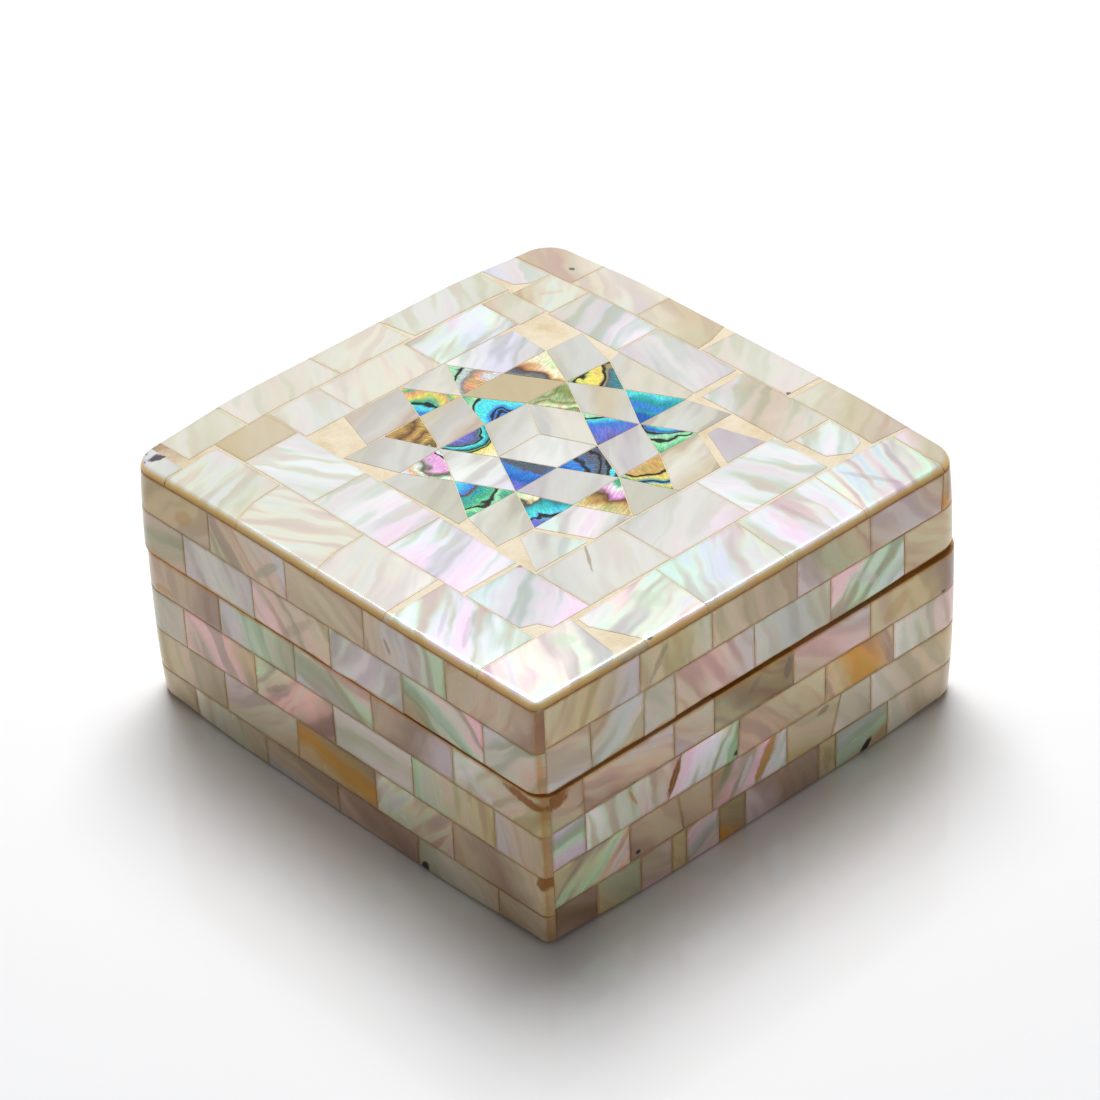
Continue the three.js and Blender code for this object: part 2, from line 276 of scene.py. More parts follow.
CUTS_X, CUTS_Y = long_cuts(HALF_X), long_cuts(HALF_Y)
HEIGHT_CUTS = (
    [0.1, 0.25, 0.4] + steps(1.5, RIM - 1, 2) + [RIM - 0.3, RIM - 0.15]
    + [LID_FOOT + 0.15, LID_FOOT + 0.3] + steps(LID_FOOT + 1, HEIGHT - 1.5, 2)
)
EDGE_CUTS = [0.1, 0.25, 0.4, 0.6, 0.8]
DEPTH_CUTS = [0.25, 0.5, 0.75]
SNAP = 0.002  # a cut this close to a point goes through it


def grid_for(face):
    """Where a sheet on this face is sliced, along each of its two directions."""
    if face == "top":
        return (
            CUTS_X + both_ways([HALF_X - cut for cut in EDGE_CUTS]),
            CUTS_Y + both_ways([HALF_Y - cut for cut in EDGE_CUTS]),
        )
    return CUTS_X if face in ("front", "back") else CUTS_Y, HEIGHT_CUTS


def slice_mesh(bm, normal, cuts):
    """Slices a mesh by a row of parallel planes."""
    axis = Vector(normal)
    for cut in cuts:
        geometry = bm.verts[:] + bm.edges[:] + bm.faces[:]
        bmesh.ops.bisect_plane(bm, geom=geometry, dist=SNAP, plane_co=axis * cut, plane_no=axis)


print(f"grid of {len(CUTS_X)} by {len(HEIGHT_CUTS)} cuts on the front")

# %% [markdown]
# A slab starts as a flat outline. It is drawn in by half a joint, and once more by a border
# that tells the finish how near it is to the glue. Then it is extruded downwards, its upper
# rim may be bevelled, and the grid is cut through it.

# %% Outlines to slabs
CRISP = math.radians(25)


def flat_faces(bm, outlines, inset, border):
    """Draws outlines as flat faces, numbers them and draws each in by half a joint."""
    number = bm.faces.layers.int.new("plate")
    for index, outline in enumerate(outlines):
        face = bm.faces.new([bm.verts.new((u, v, 0)) for u, v in outline])
        face.normal_update()
        if face.normal.z < 0:
            face.normal_flip()
        face[number] = index
    if inset > 0:
        kept = bm.faces[:]
        bmesh.ops.inset_individual(bm, faces=kept, thickness=inset, use_even_offset=True)
        loose = [face for face in bm.faces if face not in set(kept)]
        bmesh.ops.delete(bm, geom=loose, context="FACES")
    core = bm.verts.layers.float.new("core")
    if border > 0:
        kept = bm.faces[:]
        bmesh.ops.inset_individual(bm, faces=kept, thickness=border, use_even_offset=True)
        for vert in {vert for face in kept for vert in face.verts}:
            vert[core] = 1
    return number


def slab_mesh(face, outlines, depth, thickness, inset=0.07, border=0.6, bevel=0.03):
    """Slabs of one face in flat coordinates: u, v and minus the depth."""
    bm = bmesh.new()
    number = flat_faces(bm, outlines, inset, border)
    tops = bm.faces[:]
    grown = bmesh.ops.extrude_face_region(bm, geom=tops, use_keep_orig=True)
    moved = [item for item in grown["geom"] if isinstance(item, bmesh.types.BMVert)]
    bmesh.ops.translate(bm, verts=moved, vec=(0, 0, -thickness))
    bmesh.ops.recalc_face_normals(bm, faces=bm.faces[:])
    if bevel > 0:
        rims = [
            edge for edge in bm.edges
            if all(abs(vert.co.z) < 1e-6 for vert in edge.verts)
            and edge.calc_face_angle(0) > 1 and not on_outline(face, edge)
        ]
        bmesh.ops.bevel(
            bm, geom=rims, affect="EDGES", offset=bevel, segments=2, profile=0.5, material=-1,
        )
    bmesh.ops.translate(bm, verts=bm.verts[:], vec=(0, 0, -depth))
    along_u, along_v = grid_for(face)
    slice_mesh(bm, (1, 0, 0), along_u)
    slice_mesh(bm, (0, 1, 0), along_v)
    if face == "top":
        slice_mesh(bm, (0, 0, -1), DEPTH_CUTS)
    return bm, number


def on_outline(face, edge):
    """True for the outermost edges of the lid's top, which the sanding rounds instead."""
    if face != "top":
        return False
    mid = (edge.verts[0].co + edge.verts[1].co) / 2
    return abs(mid.x) > HALF_X - 0.3 or abs(mid.y) > HALF_Y - 0.3


def finish_mesh(bm, name):
    """Marks the crisp edges and makes an object of a mesh."""
    bmesh.ops.recalc_face_normals(bm, faces=bm.faces[:])
    for face in bm.faces:
        face.smooth = True
    for edge in bm.edges:
        edge.smooth = len(edge.link_faces) == 2 and edge.calc_face_angle(0) < CRISP
    mesh = bpy.data.meshes.new(name)
    bm.to_mesh(mesh)
    bm.free()
    piece = bpy.data.objects.new(name, mesh)
    bpy.context.scene.collection.objects.link(piece)
    return piece


trial, _ = slab_mesh("front", [[(0, 6), (15, 6), (15, 12), (0, 12)]], 0, 1)
print(f"a plate of 15 by 6 mm has {len(trial.faces)} faces")
trial.free()

# %% [markdown]
# ## Tones of shell
# Mother-of-pearl is never one colour. A maker sorts it by eye, so we give the tones the
# names that a maker might use. A plate is then described in a few words: the tones that
# follow each other across it, the slant of its grain in degrees and the strength of its
# figure.

# %% Name the tones
def tone(red, green, blue):
    """Screen colour from 0 to 255 as the linear colour that the shader wants."""
    return tuple(
        c / 3294.6 if c <= 10 else ((c / 255 + 0.055) / 1.055) ** 2.4 for c in (red, green, blue)
    ) + (1.0,)


TONES = {
    "pearl": tone(236, 232, 226),
    "white": tone(250, 249, 246),
    "ivory": tone(238, 232, 220),
    "cream": tone(232, 224, 206),
    "beige": tone(218, 202, 174),
    "tan": tone(212, 192, 150),
    "taupe": tone(204, 184, 160),
    "rose": tone(214, 192, 176),
    "pink": tone(236, 200, 202),
    "blush": tone(250, 232, 242),
    "lavender": tone(210, 200, 208),
    "lilac": tone(234, 230, 246),
    "mint": tone(198, 218, 192),
    "frost": tone(226, 246, 238),
    "sage": tone(184, 184, 156),
    "sky": tone(204, 208, 208),
    "pale": tone(212, 208, 192),
    "grey": tone(222, 220, 216),
    "olive": tone(172, 154, 116),
    "mauve": tone(172, 146, 132),
    "slate": tone(152, 144, 136),
    "umber": tone(146, 122, 94),
    "amber": tone(210, 152, 56),
    "rust": tone(160, 96, 6),
    "plum": tone(70, 50, 66),
    "soot": tone(38, 30, 26),
}
print(len(TONES), "tones of shell")

# %% [markdown]
# A few plates carry a mark of their own: a stain from the glue, a crack, or a pit that is
# still full of dirt. A mark is a soft oval on one plate, given as its tone, its middle, half
# its length and width, its slant and its strength.

# %% List the marks
MARKS = {
    "front": [
        ("amber", -28, 33.5, 2.4, 1.3, 30, 0.45), ("umber", 12.5, 33.5, 1.2, 0.25, -60, 0.6),
        ("amber", -34.5, 18.7, 2.2, 0.7, 0, 0.5), ("rust", 36.8, 22.6, 4.6, 0.8, -8, 1.0),
        ("rust", 39.4, 10.6, 1.4, 1.2, 90, 0.9), ("soot", 16.8, 0.6, 1.1, 0.7, 60, 1.0),
        ("amber", 40.1, 34.2, 3.8, 1.5, 90, 0.95), ("amber", 40.1, 14.6, 3.4, 0.9, 90, 0.7),
        ("amber", 40.1, 2.4, 2.6, 1.2, 90, 0.8), ("sage", -11, 33.4, 4.4, 0.7, 40, 0.6),
        ("mint", 22, 27.6, 5.5, 1.0, -28, 0.7), ("olive", 3.4, 20.2, 6, 0.6, -38, 0.5),
        ("pearl", 27.5, 20.2, 4.6, 0.8, -28, 0.6), ("pearl", 11, 8.2, 4, 0.7, -35, 0.6),
        ("olive", -5.4, 27.2, 5, 0.8, 40, 0.35), ("umber", -11.2, 14.5, 3.2, 0.5, 35, 0.4),
        ("amber", 1, 8.2, 7.6, 3.0, 0, 0.35), ("amber", 40.1, 8.2, 3.6, 2.0, 90, 1.0),
    ],
    "right": [
        ("rust", -36.2, 22.7, 2.6, 1.2, 8, 1.0), ("umber", -17.6, 34.4, 3, 0.5, 55, 0.45),
        ("rust", -16, 15.2, 3.3, 0.62, 66, 1.0), ("soot", -4.9, 13, 0.45, 0.35, 0, 0.9),
        ("amber", -23.2, 16, 1.8, 0.22, -63, 0.7), ("soot", -22.6, 7, 0.32, 0.26, 0, 0.9),
        ("umber", 4.6, 21.4, 2.0, 0.75, 75, 0.9), ("soot", 33.7, 18.4, 0.35, 0.26, 0, 0.9),
        ("soot", 19, 0.9, 1.4, 0.6, 40, 1.0), ("amber", 0.2, 9.2, 4.2, 1.0, 58, 0.9),
        ("rust", 35.8, 35, 3.4, 0.8, 80, 0.5), ("umber", -1.6, 21.8, 2.4, 0.5, 40, 0.5),
        ("umber", -31.6, 20.2, 1.2, 0.3, 20, 0.5), ("white", -6.6, 15.4, 3.4, 0.7, 62, 0.8),
        ("mauve", -8.6, 15.2, 3.0, 0.4, 62, 0.5), ("umber", 11, 11.2, 1.2, 0.5, 10, 0.6),
        ("amber", 24.8, 20.6, 3.0, 1.6, 30, 0.35), ("pearl", 19, 28.2, 4.0, 0.8, -35, 0.5),
        ("olive", 11.6, 3.0, 2.4, 1.0, 90, 0.4), ("white", -3.4, 9.2, 3.0, 0.5, 58, 0.6),
    ],
    "top": [
        ("plum", -37.4, -36.2, 1.8, 1.0, 60, 1.0), ("soot", -31, 34.5, 0.4, 0.3, 0, 0.8),
        ("soot", 13.6, 32.2, 0.4, 0.3, 0, 0.8), ("umber", 16.6, -19.6, 0.5, 0.3, 20, 0.8),
        ("umber", 21.5, -12.1, 3.2, 0.14, -34, 0.7), ("soot", 39.6, -18.6, 0.4, 0.2, 90, 0.7),
        ("amber", -28, 28, 2, 0.5, 60, 0.25), ("slate", 22, -33, 5.0, 0.5, -52, 0.3),
        ("slate", 18.4, -34, 4.4, 0.35, -52, 0.25), ("mint", 32, -26.4, 2.2, 1.4, 40, 0.45),
        ("slate", 34, 13, 4.4, 0.4, 4, 0.25), ("pink", 34, 11, 3.6, 0.9, 4, 0.4),
        ("slate", 34.6, 25.6, 4.6, 0.5, 30, 0.3), ("mint", 33.4, -13, 3.0, 1.6, 20, 0.5),
    ],
}
print(sum(len(marks) for marks in MARKS.values()), "marks")

# %% [markdown]
# The description of a plate is turned into numbers here. Its figure is a frame of its own:
# one axis runs across the grain and one along it, and the plate's half length is the unit.
# A mark gets the same treatment, with the oval as its frame.

# %% Read a plate's description
FAR_AWAY = (9, 9)
SOFT_LENGTH, SOFT_WIDTH = 0.2, 0.15


def read_look(words):
    """'rose/mint/taupe 30 0.6' to three tones, a slant in degrees and a strength."""
    parts = words.split()
    names = parts[0].split("/")
    names = (names + [names[-1]] * 2)[:3]
    slant = float(parts[1]) if len(parts) > 1 else 60.0
    strength = float(parts[2]) if len(parts) > 2 else 0.4
    return [TONES[name] for name in names], math.radians(slant), strength


def extent(outline):
    """Least and greatest u of an outline, and then v."""
    us, vs = zip(*outline)
    return min(us), max(us), min(vs), max(vs)


def figure_of(outline, slant):
    """Middle of a plate, the direction across its grain and half its length that way."""
    low_u, high_u, low_v, high_v = extent(outline)
    middle_u, middle_v = (low_u + high_u) / 2, (low_v + high_v) / 2
    run = (math.cos(slant), math.sin(slant))
    reach = max(abs((u - middle_u) * run[0] + (v - middle_v) * run[1]) for u, v in outline)
    return middle_u, middle_v, run, max(reach, 0.5)


def holds(outline, mark):
    """True where a mark lies within the bounds of an outline."""
    low_u, high_u, low_v, high_v = extent(outline)
    return low_u <= mark[1] <= high_u and low_v <= mark[2] <= high_v


def mark_place(mark, u, v):
    """Place of a point in the oval of a mark: its middle is (0, 0) and its edge is at 1."""
    if mark is None:
        return FAR_AWAY
    _, middle_u, middle_v, length, width, slant, _ = mark
    length, width = length + SOFT_LENGTH, width + SOFT_WIDTH
    run = (math.cos(math.radians(slant)), math.sin(math.radians(slant)))
    u, v = u - middle_u, v - middle_v
    return (u * run[0] + v * run[1]) / length, (v * run[0] - u * run[1]) / width


print("a look reads as", read_look("rose/mint/taupe 30 0.6")[1:])

# %% [markdown]
# The numbers are written on the corners of the faces while the sheet still lies flat: the
# figure and the two marks as UV maps, the tones and stains as colours. Only then is the
# sheet pressed onto the box. Each point keeps the height and the distance from the corner
# that it had on the sharp block, because the worn edges are stained by those.

# %% Lay a sheet of plates
SIDE_THICKNESS = 1.35


def note_looks(face, plates, seed):
    """Every plate's tones, figure, strength, chance and two marks."""
    draw = random.Random(seed)
    looks = []
    for outline, words in plates:
        colours, slant, strength = read_look(words)
        marks = [mark for mark in MARKS.get(face, []) if holds(outline, mark)]
        marks = (marks + [None, None])[:2]
        looks.append((colours, figure_of(outline, slant), strength, draw.random(), marks))
    return looks


def write_looks(bm, number, looks):
    """Writes the looks where the finish can read them."""
    maps, colour_maps = bm.loops.layers.uv, bm.loops.layers.float_color
    figure = maps.new("figure")
    tones = [colour_maps.new(f"tone_{letter}") for letter in "abc"]
    trait = colour_maps.new("trait")
    spots = [maps.new(f"mark_{letter}") for letter in "ab"]
    stains = [colour_maps.new(f"stain_{letter}") for letter in "ab"]
    for face in bm.faces:
        colours, (middle_u, middle_v, run, reach), strength, chance, marks = looks[face[number]]
        for loop in face.loops:
            u, v, _ = loop.vert.co
            for mark, spot, stain in zip(marks, spots, stains):
                loop[spot].uv = mark_place(mark, u, v)
                loop[stain] = (*TONES[mark[0]][:3], mark[6]) if mark else (0, 0, 0, 0)
            u, v = u - middle_u, v - middle_v
            loop[figure].uv = (
                (u * run[0] + v * run[1]) / reach * 0.5 + 0.5,
                (v * run[0] - u * run[1]) / reach * 0.5,
            )
            for layer, colour in zip(tones, colours):
                loop[layer] = colour
            loop[trait] = (strength, chance, reach / 10, 1)


def press_on(bm, face):
    """Presses a flat sheet onto the box and notes where its points were on the sharp block."""
    level = bm.verts.layers.float.new("level")
    corner = bm.verts.layers.float.new("corner")
    for vert in bm.verts:
        place = FACES[face](vert.co.x, vert.co.y, -vert.co.z)
        vert[level] = round_block(*place)[2]
        vert[corner] = from_corner(place[0], place[1])
        vert.co = settle(*place)


def lay_plates(name, face, plates, seed, thickness=SIDE_THICKNESS, **cut):
    """A piece made of plates, each with the tones and the grain of its own shell."""
    outlines = [outline for outline, words in plates]
    bm, number = slab_mesh(face, outlines, 0, thickness, **cut)
    write_looks(bm, number, note_looks(face, plates, seed))
    press_on(bm, face)
    piece = finish_mesh(bm, name)
    print(f"{name}: {len(plates)} plates, {len(piece.data.polygons)} faces")
    return piece


print(f"side plates are {SIDE_THICKNESS} mm thick")

# %% [markdown]
# ## Shader sums
# Materials are easier to read as sums than as a web of nodes. A Wire holds one socket, and
# adding or multiplying wires adds the Math nodes.

# %% A wire that can be added and multiplied
class Wire:
    """One output socket of a node tree, ready for sums."""

    def __init__(self, finish, socket):
        self.finish = finish
        self.socket = socket

    def math(self, operation, *terms):
        return self.finish.node("Math", {"operation": operation}, dict(enumerate(terms)))

    def __add__(self, other):
        return self.math("ADD", self, other)

    def __sub__(self, other):
        return self.math("SUBTRACT", self, other)

    def __rsub__(self, other):
        return self.math("SUBTRACT", other, self)

    def __mul__(self, other):
        return self.math("MULTIPLY", self, other)

    def __gt__(self, other):
        return self.math("GREATER_THAN", self, other)

    def __lt__(self, other):
        return self.math("LESS_THAN", self, other)

    def __abs__(self):
        return self.math("ABSOLUTE", self)

    __radd__ = __add__
    __rmul__ = __mul__


# %% [markdown]
# The Finish class keeps the node tree of one material. Its method called node makes every
# other kind of node, and the short methods below it only save typing.

# %% A finish that makes its own nodes
class Finish:
    """A material and its node tree."""

    def __init__(self, name, **constants):
        self.material = bpy.data.materials.new(name)
        self.material.use_nodes = True
        self.tree = self.material.node_tree
        self.shader = self.tree.nodes["Principled BSDF"]
        self.set(**constants)

    def set(self, **sockets):
        """Feeds the shader: coat_ior=1.5 sets its socket Coat IOR."""
        for name, value in sockets.items():
            title = name.replace("_", " ").title().replace("Ior", "IOR")
            self.feed(self.shader.inputs[title], value)

    def node(self, kind, settings=None, sockets=None, output=0):
        made = self.tree.nodes.new("ShaderNode" + kind)
        for setting, value in (settings or {}).items():
            if setting == "stops":
                self.set_stops(made.color_ramp, value)
            else:
                setattr(made, setting, value)
        for socket, value in (sockets or {}).items():
            self.feed(made.inputs[socket], value)
        return Wire(self, made.outputs[output])

    def set_stops(self, ramp, stops):
        while len(ramp.elements) < len(stops):
            ramp.elements.new(0.5)
        for element, (place, colour) in zip(ramp.elements, stops):
            element.position = place
            element.color = colour

    def feed(self, socket, value):
        if isinstance(value, Wire):
            self.tree.links.new(value.socket, socket)
        else:
            socket.default_value = value

    def mix(self, factor, first, second, blend="MIX"):
        """Blends two colours."""
        settings = {"data_type": "RGBA", "blend_type": blend, "clamp_factor": True}
        return self.node("Mix", settings, {0: factor, 6: first, 7: second}, 2)

    def tint(self, colour, by):
        """Multiplies one colour by another."""
        return self.mix(1.0, colour, by, "MULTIPLY")

    def smooth(self, value, low, high, to_low=0.0, to_high=1.0):
        """Smooth step of a number from low to high."""
        settings = {"interpolation_type": "SMOOTHSTEP", "clamp": True}
        sockets = {0: value, 1: low, 2: high, 3: to_low, 4: to_high}
        return self.node("MapRange", settings, sockets)

    def noise(self, vector, scale, detail=2.0, roughness=0.5, warp=0.0):
        sockets = {
            "Vector": vector, "Scale": scale, "Detail": detail,
            "Roughness": roughness, "Distortion": warp,
        }
        return self.node("TexNoise", {}, sockets)

    def place(self, scale=(1, 1, 1)):
        """Object coordinates in millimetres, stretched where scale says so."""
        point = self.node("TexCoord", output="Object")
        return self.node("Mapping", {}, {"Vector": point, "Scale": [s / MM for s in scale]})

    def parts(self, value, kind="SeparateXYZ"):
        """The three numbers of a vector or a colour."""
        first = self.node(kind, {}, {0: value})
        return [Wire(self, socket) for socket in first.socket.node.outputs[:3]]

    def largest(self, *values):
        """The largest of several numbers."""
        most = values[0]
        for value in values[1:]:
            most = most.math("MAXIMUM", most, value)
        return most

    def bump(self, height, strength, distance):
        """Small relief in the surface, in metres."""
        sockets = {"Strength": strength, "Distance": distance, "Height": height}
        return self.node("Bump", {}, sockets)

    def attribute(self, name, output="Color"):
        """A value that was written on the mesh."""
        return self.node("Attribute", {"attribute_name": name}, {}, output)


trial = Finish("trial")
total = trial.noise(trial.place(), 1.0) * 2 + 1
print("the sum ends at", total.socket.node.name, "and took", len(trial.tree.nodes), "nodes")
bpy.data.materials.remove(trial.material)

# %% [markdown]
# ## Mother-of-pearl
# A plate of mother-of-pearl is many clear layers with a flat polish on top. Light comes
# back from layers that are slightly tilted, so silky bands and pastel tints seem to lie
# under the surface. We start with the plate's three tones, blended across its grain, and
# lay a soft ripple over them that runs along the grain.

# %% Tones, ripples and tints
PASTELS = [
    (0.0, tone(255, 226, 240)), (0.3, tone(255, 240, 226)), (0.5, tone(232, 255, 236)),
    (0.72, tone(226, 244, 255)), (1.0, tone(246, 228, 255)),
]
GLUE_TONE = tone(232, 206, 160)
WORN_TONE, WORN_TONE_ON_TOP = tone(206, 140, 30), tone(244, 196, 100)


def blend_tones(made, grain):
    """The plate's three tones, one after the other across its grain."""
    first, second, third = (made.attribute(f"tone_{letter}") for letter in "abc")
    blend = made.mix(made.smooth(grain, 0.1, 0.5), first, second)
    return made.mix(made.smooth(grain, 0.5, 0.9), blend, third)


def play_of_colour(made, blend, ripple, silk, figure, tint, painted_light_level):
    """Pastel tints, the painted light level, and light and dark folds that are partly the shell's
    banding and partly painted sheen. Also gives the glow of the folds.
    """
    strength, chance, drift = figure
    glow = made.smooth(ripple, 0.3, 0.72)
    fold = made.smooth(ripple, 0.38, 0.52) * made.smooth(ripple, 0.72, 0.52)
    # The folds lift and lower the colour: partly the shell's own banding, partly painted sheen.
    band_and_sheen_lift = 1 + ((glow - 0.5) * 0.34 + (fold - 0.4) * 0.2 + (silk - 0.5) * 0.04) * strength
    hue = made.smooth(ripple + chance * 0.3 + drift * 0.4, 0.3, 0.95)
    tinted = made.tint(blend, made.node("ValToRGB", {"stops": PASTELS}, {0: hue}))
    blend = made.mix(strength * tint, blend, tinted)
    # Painted light: the colour is scaled by the face's painted light level and by the folds.
    sheen_and_painted_light = made.node("CombineXYZ", {}, {k: band_and_sheen_lift * part for k, part in enumerate(painted_light_level)})
    return made.tint(blend, sheen_and_painted_light), glow


print(len(PASTELS), "pastel tints")

# %% [markdown]
# Glue has crept under the rims of the plates, and the lid's edge, the upright corners and
# the seam have gone amber with handling. The marks come last, over everything else. We
# write each of these as a mask from 0 to 1.

# %% Glue, wear and marks
SKIRT, SIDE_END = HEIGHT - 0.95, HEIGHT - 0.9
BAND_LOW, BAND_HIGH = HEIGHT - 0.42, HEIGHT - 0.06


def glue_mask(made, point):
    """Soft band of glue round every plate."""
    core = made.attribute("core", "Fac")
    cloud = made.noise(point, 0.5, 3.0, 0.6)
    return 1 - made.smooth(core + (cloud - 0.5) * 1.6, 0.05, 0.75)


def wear_mask(made, point, level):
    """The worn edges: the lid's rim, the upright corners and the seam."""
    corner = made.attribute("corner", "Fac")
    uneven = made.noise(point, 0.3, 3.0, 0.6) - 0.5
    skirt = 1 - made.smooth(abs(level - SKIRT) + uneven * 0.5, 0.05, 0.42)
    on_side = level < SIDE_END
    near = made.parts(point)[0] > 0
    upright = (1 - made.smooth(corner + uneven * 2.0, 0.1, 0.8)) * on_side * (1 - near * 0.6)
    rim = (1 - made.smooth(level + uneven * 0.3, BAND_LOW, BAND_HIGH)) * (1 - on_side)
    seam = 1 - made.smooth(abs(level - RIM) + uneven * 1.2, 0.1, 0.8)
    return made.largest(skirt, upright * 0.85, rim * 0.9, seam * 0.6)


def add_marks(made, blend, point):
    """Lays the plate's two marks over its tones. Also gives the share that stays clean."""
    wobble = (made.noise(point, 0.9, 3.0, 0.6) - 0.5) * 0.9
    clean = 1
    for letter in "ab":
        oval = made.node("UVMap", {"uv_map": f"mark_{letter}"})
        away = made.node("VectorMath", {"operation": "LENGTH"}, {0: oval}, "Value")
        stain = made.attribute(f"stain_{letter}")
        amount = Wire(made, stain.socket.node.outputs["Alpha"])
        marked = (1 - made.smooth(away + wobble, 0.55, 1.0)) * amount
        blend = made.mix(marked, blend, stain)
        clean = (1 - marked) * clean
    return blend, clean


print(f"the lid's edge is amber from {SKIRT:.2f} mm up")

# %% [markdown]
# One function puts the finish together. The bump only moves the layer under the coat, so
# the coat itself stays flat and glossy, and it is thin where the edges are worn. The sides
# stand in the shade and their polish is duller, so they get less coat than the lid. Each
# finish also scales its colour by a painted light level for its faces: the shaded sides are
# painted brighter, the front a little darker than the other sides, and the lid darker.

# %% Make the shell finishes
def shell_finish(name, painted_light_level, tint, rim, coat=1.0, gloss=0.4, shine=0.35):
    """Nacre that reads its tones, its grain and its strength from each plate."""
    made = Finish(name, coat_roughness=0.04, coat_ior=1.5, specular_ior_level=gloss)
    across, along, _ = made.parts(made.node("UVMap", {"uv_map": "figure"}))
    strength, chance, reach = made.parts(made.attribute("trait"), "SeparateColor")
    point = made.place()
    drift = made.noise(point, 0.16, 2.0) - 0.5
    stretch = {0: across * reach * 20 + drift * 3, 1: along * reach * 3, 2: chance * 50}
    lengthways = made.node("CombineXYZ", {}, stretch)
    ripple = made.noise(lengthways, 0.42, 1.5, 0.5, 0.3)
    silk = made.noise(lengthways, 1.5, 1.0, 0.5)
    blend = blend_tones(made, across + drift * 0.5)
    figure = (strength, chance, drift)
    blend, glow = play_of_colour(made, blend, ripple, silk, figure, tint, painted_light_level)
    blend = made.mix(glue_mask(made, point) * rim, blend, made.tint(blend, GLUE_TONE))
    level = made.attribute("level", "Fac")
    worn = wear_mask(made, point, level)
    on_top = made.smooth(level, HEIGHT - 1.0, HEIGHT - 0.5)
    blend = made.mix(worn * 0.9, blend, made.mix(on_top, WORN_TONE, WORN_TONE_ON_TOP))
    blend, clean = add_marks(made, blend, point)
    made.set(
        base_color=blend, roughness=0.26 + (silk - 0.5) * 0.06,
        metallic=strength * glow * clean * shine, coat_weight=(1 - worn * 0.8) * coat,
        normal=made.bump(ripple, 0.12, 0.00006),
    )
    return made.material


SHADED = {"tint": 0.75, "rim": 0.6, "coat": 0.2, "gloss": 0.2}
# Copies of one nacre, each with a painted light level: the shaded right, back and left sides are
# painted brightest, the front darker than them, and the lid and its field darker still.
side_shell = shell_finish("side_shell", (1.25, 1.175, 1.06), **SHADED)
front_shell = shell_finish("front_shell", (1.13, 1.05, 0.93), **SHADED)
top_shell = shell_finish("top_shell", (0.84, 0.845, 0.82), 0.85, 0.35, coat=0.7, shine=0.2)
field_shell = shell_finish("field_shell", (0.8, 0.81, 0.79), 0.3, 0.3)
for finish in (side_shell, front_shell, top_shell, field_shell):
    print(finish.name, "has", len(finish.node_tree.nodes), "nodes")

# %% [markdown]
# ## Resin and wood
# The filler is tan resin. It is pale on the lid, and in the joints of the sides it is painted
# darker and browner, as painted shade. The wood shows only inside and below: a plain brown
# wood with a long grain, under a thin varnish.

# %% Make the resin
def resin_finish():
    """Tan filler with clouds and grit."""
    made = Finish("joint_resin", coat_weight=0.6, coat_roughness=0.12)
    point = made.place()
    _, _, height = made.parts(point)
    cloud = made.noise(point, 0.25, 4.0, 0.6)
    grit = made.noise(point, 2.2, 2.0, 0.6)
    side = made.mix(made.smooth(cloud, 0.4, 0.62), tone(186, 160, 124), tone(128, 86, 44))
    top = made.mix(made.smooth(cloud, 0.35, 0.75), tone(226, 212, 184), tone(210, 188, 146))
    # Painted shade: the resin of the sides is darker and browner than on the lid.
    colour = made.mix(made.smooth(height, HEIGHT - 1.2, HEIGHT - 0.4), side, top)
    colour = made.mix(made.smooth(grit, 0.66, 0.76) * 0.35, colour, tone(120, 88, 52))
    made.set(
        base_color=colour, roughness=0.32 + (grit - 0.5) * 0.3,
        normal=made.bump(grit, 0.3, 0.0001),
    )
    return made.material


joint_resin = resin_finish()
print("resin has", len(joint_resin.node_tree.nodes), "nodes")


# %% Make the wood
def wood_finish():
    """Plain brown carcass wood with its grain along the front."""
    made = Finish("carcass_wood", coat_weight=0.25, coat_roughness=0.3)
    point = made.place(scale=(0.12, 1, 1))
    rings = made.noise(point, 0.5, 3.0, 0.6, 1.2)
    pores = made.noise(point, 3.0, 2.0, 0.6)
    colour = made.mix(made.smooth(rings, 0.35, 0.65), tone(128, 84, 50), tone(98, 60, 34))
    colour = made.mix(made.smooth(pores, 0.55, 0.8) * 0.6, colour, tone(62, 36, 20))
    made.set(
        base_color=colour, roughness=0.5 + (rings - 0.5) * 0.3,
        normal=made.bump(pores, 0.25, 0.0001),
    )
    return made.material


carcass_wood = wood_finish()
print("wood has", len(carcass_wood.node_tree.nodes), "nodes")

# %% [markdown]
# ## Plates on the four sides
# The sides are laid like brickwork: four courses on the base and two on the lid, with the
# joints of one course over the middles of the next. A course is written as its upright
# joints and the looks of its plates, from left to right. Small random shifts keep it from
# looking ruled, and a fixed seed keeps them the same each time.

# %% Lay a course of plates
draw = random.Random(7)


def jitter(amount):
    """A small shift either way."""
    return draw.uniform(-amount, amount)


def lay_course(low, high, start, end, joints, looks):
    """Outlines of one course from its upright joints. A joint may lean, as (foot, head)."""
    stops = [(start, start)]
    for joint in joints:
        foot, head = joint if isinstance(joint, tuple) else (joint, joint)
        stops.append((foot + jitter(0.1), head + jitter(0.1)))
    stops.append((end, end))
    words = [look.strip() for look in looks.split(",")]
    assert len(words) == len(stops) - 1, (looks, len(stops) - 1)
    plates = []
    for (foot0, head0), (foot1, head1), look in zip(stops, stops[1:], words):
        bottom = low + (jitter(0.08) if low > 1 else 0)
        outline = [(foot0, bottom), (foot1, bottom), (head1, high), (head0, high)]
        plates.append((outline, look))
    return plates


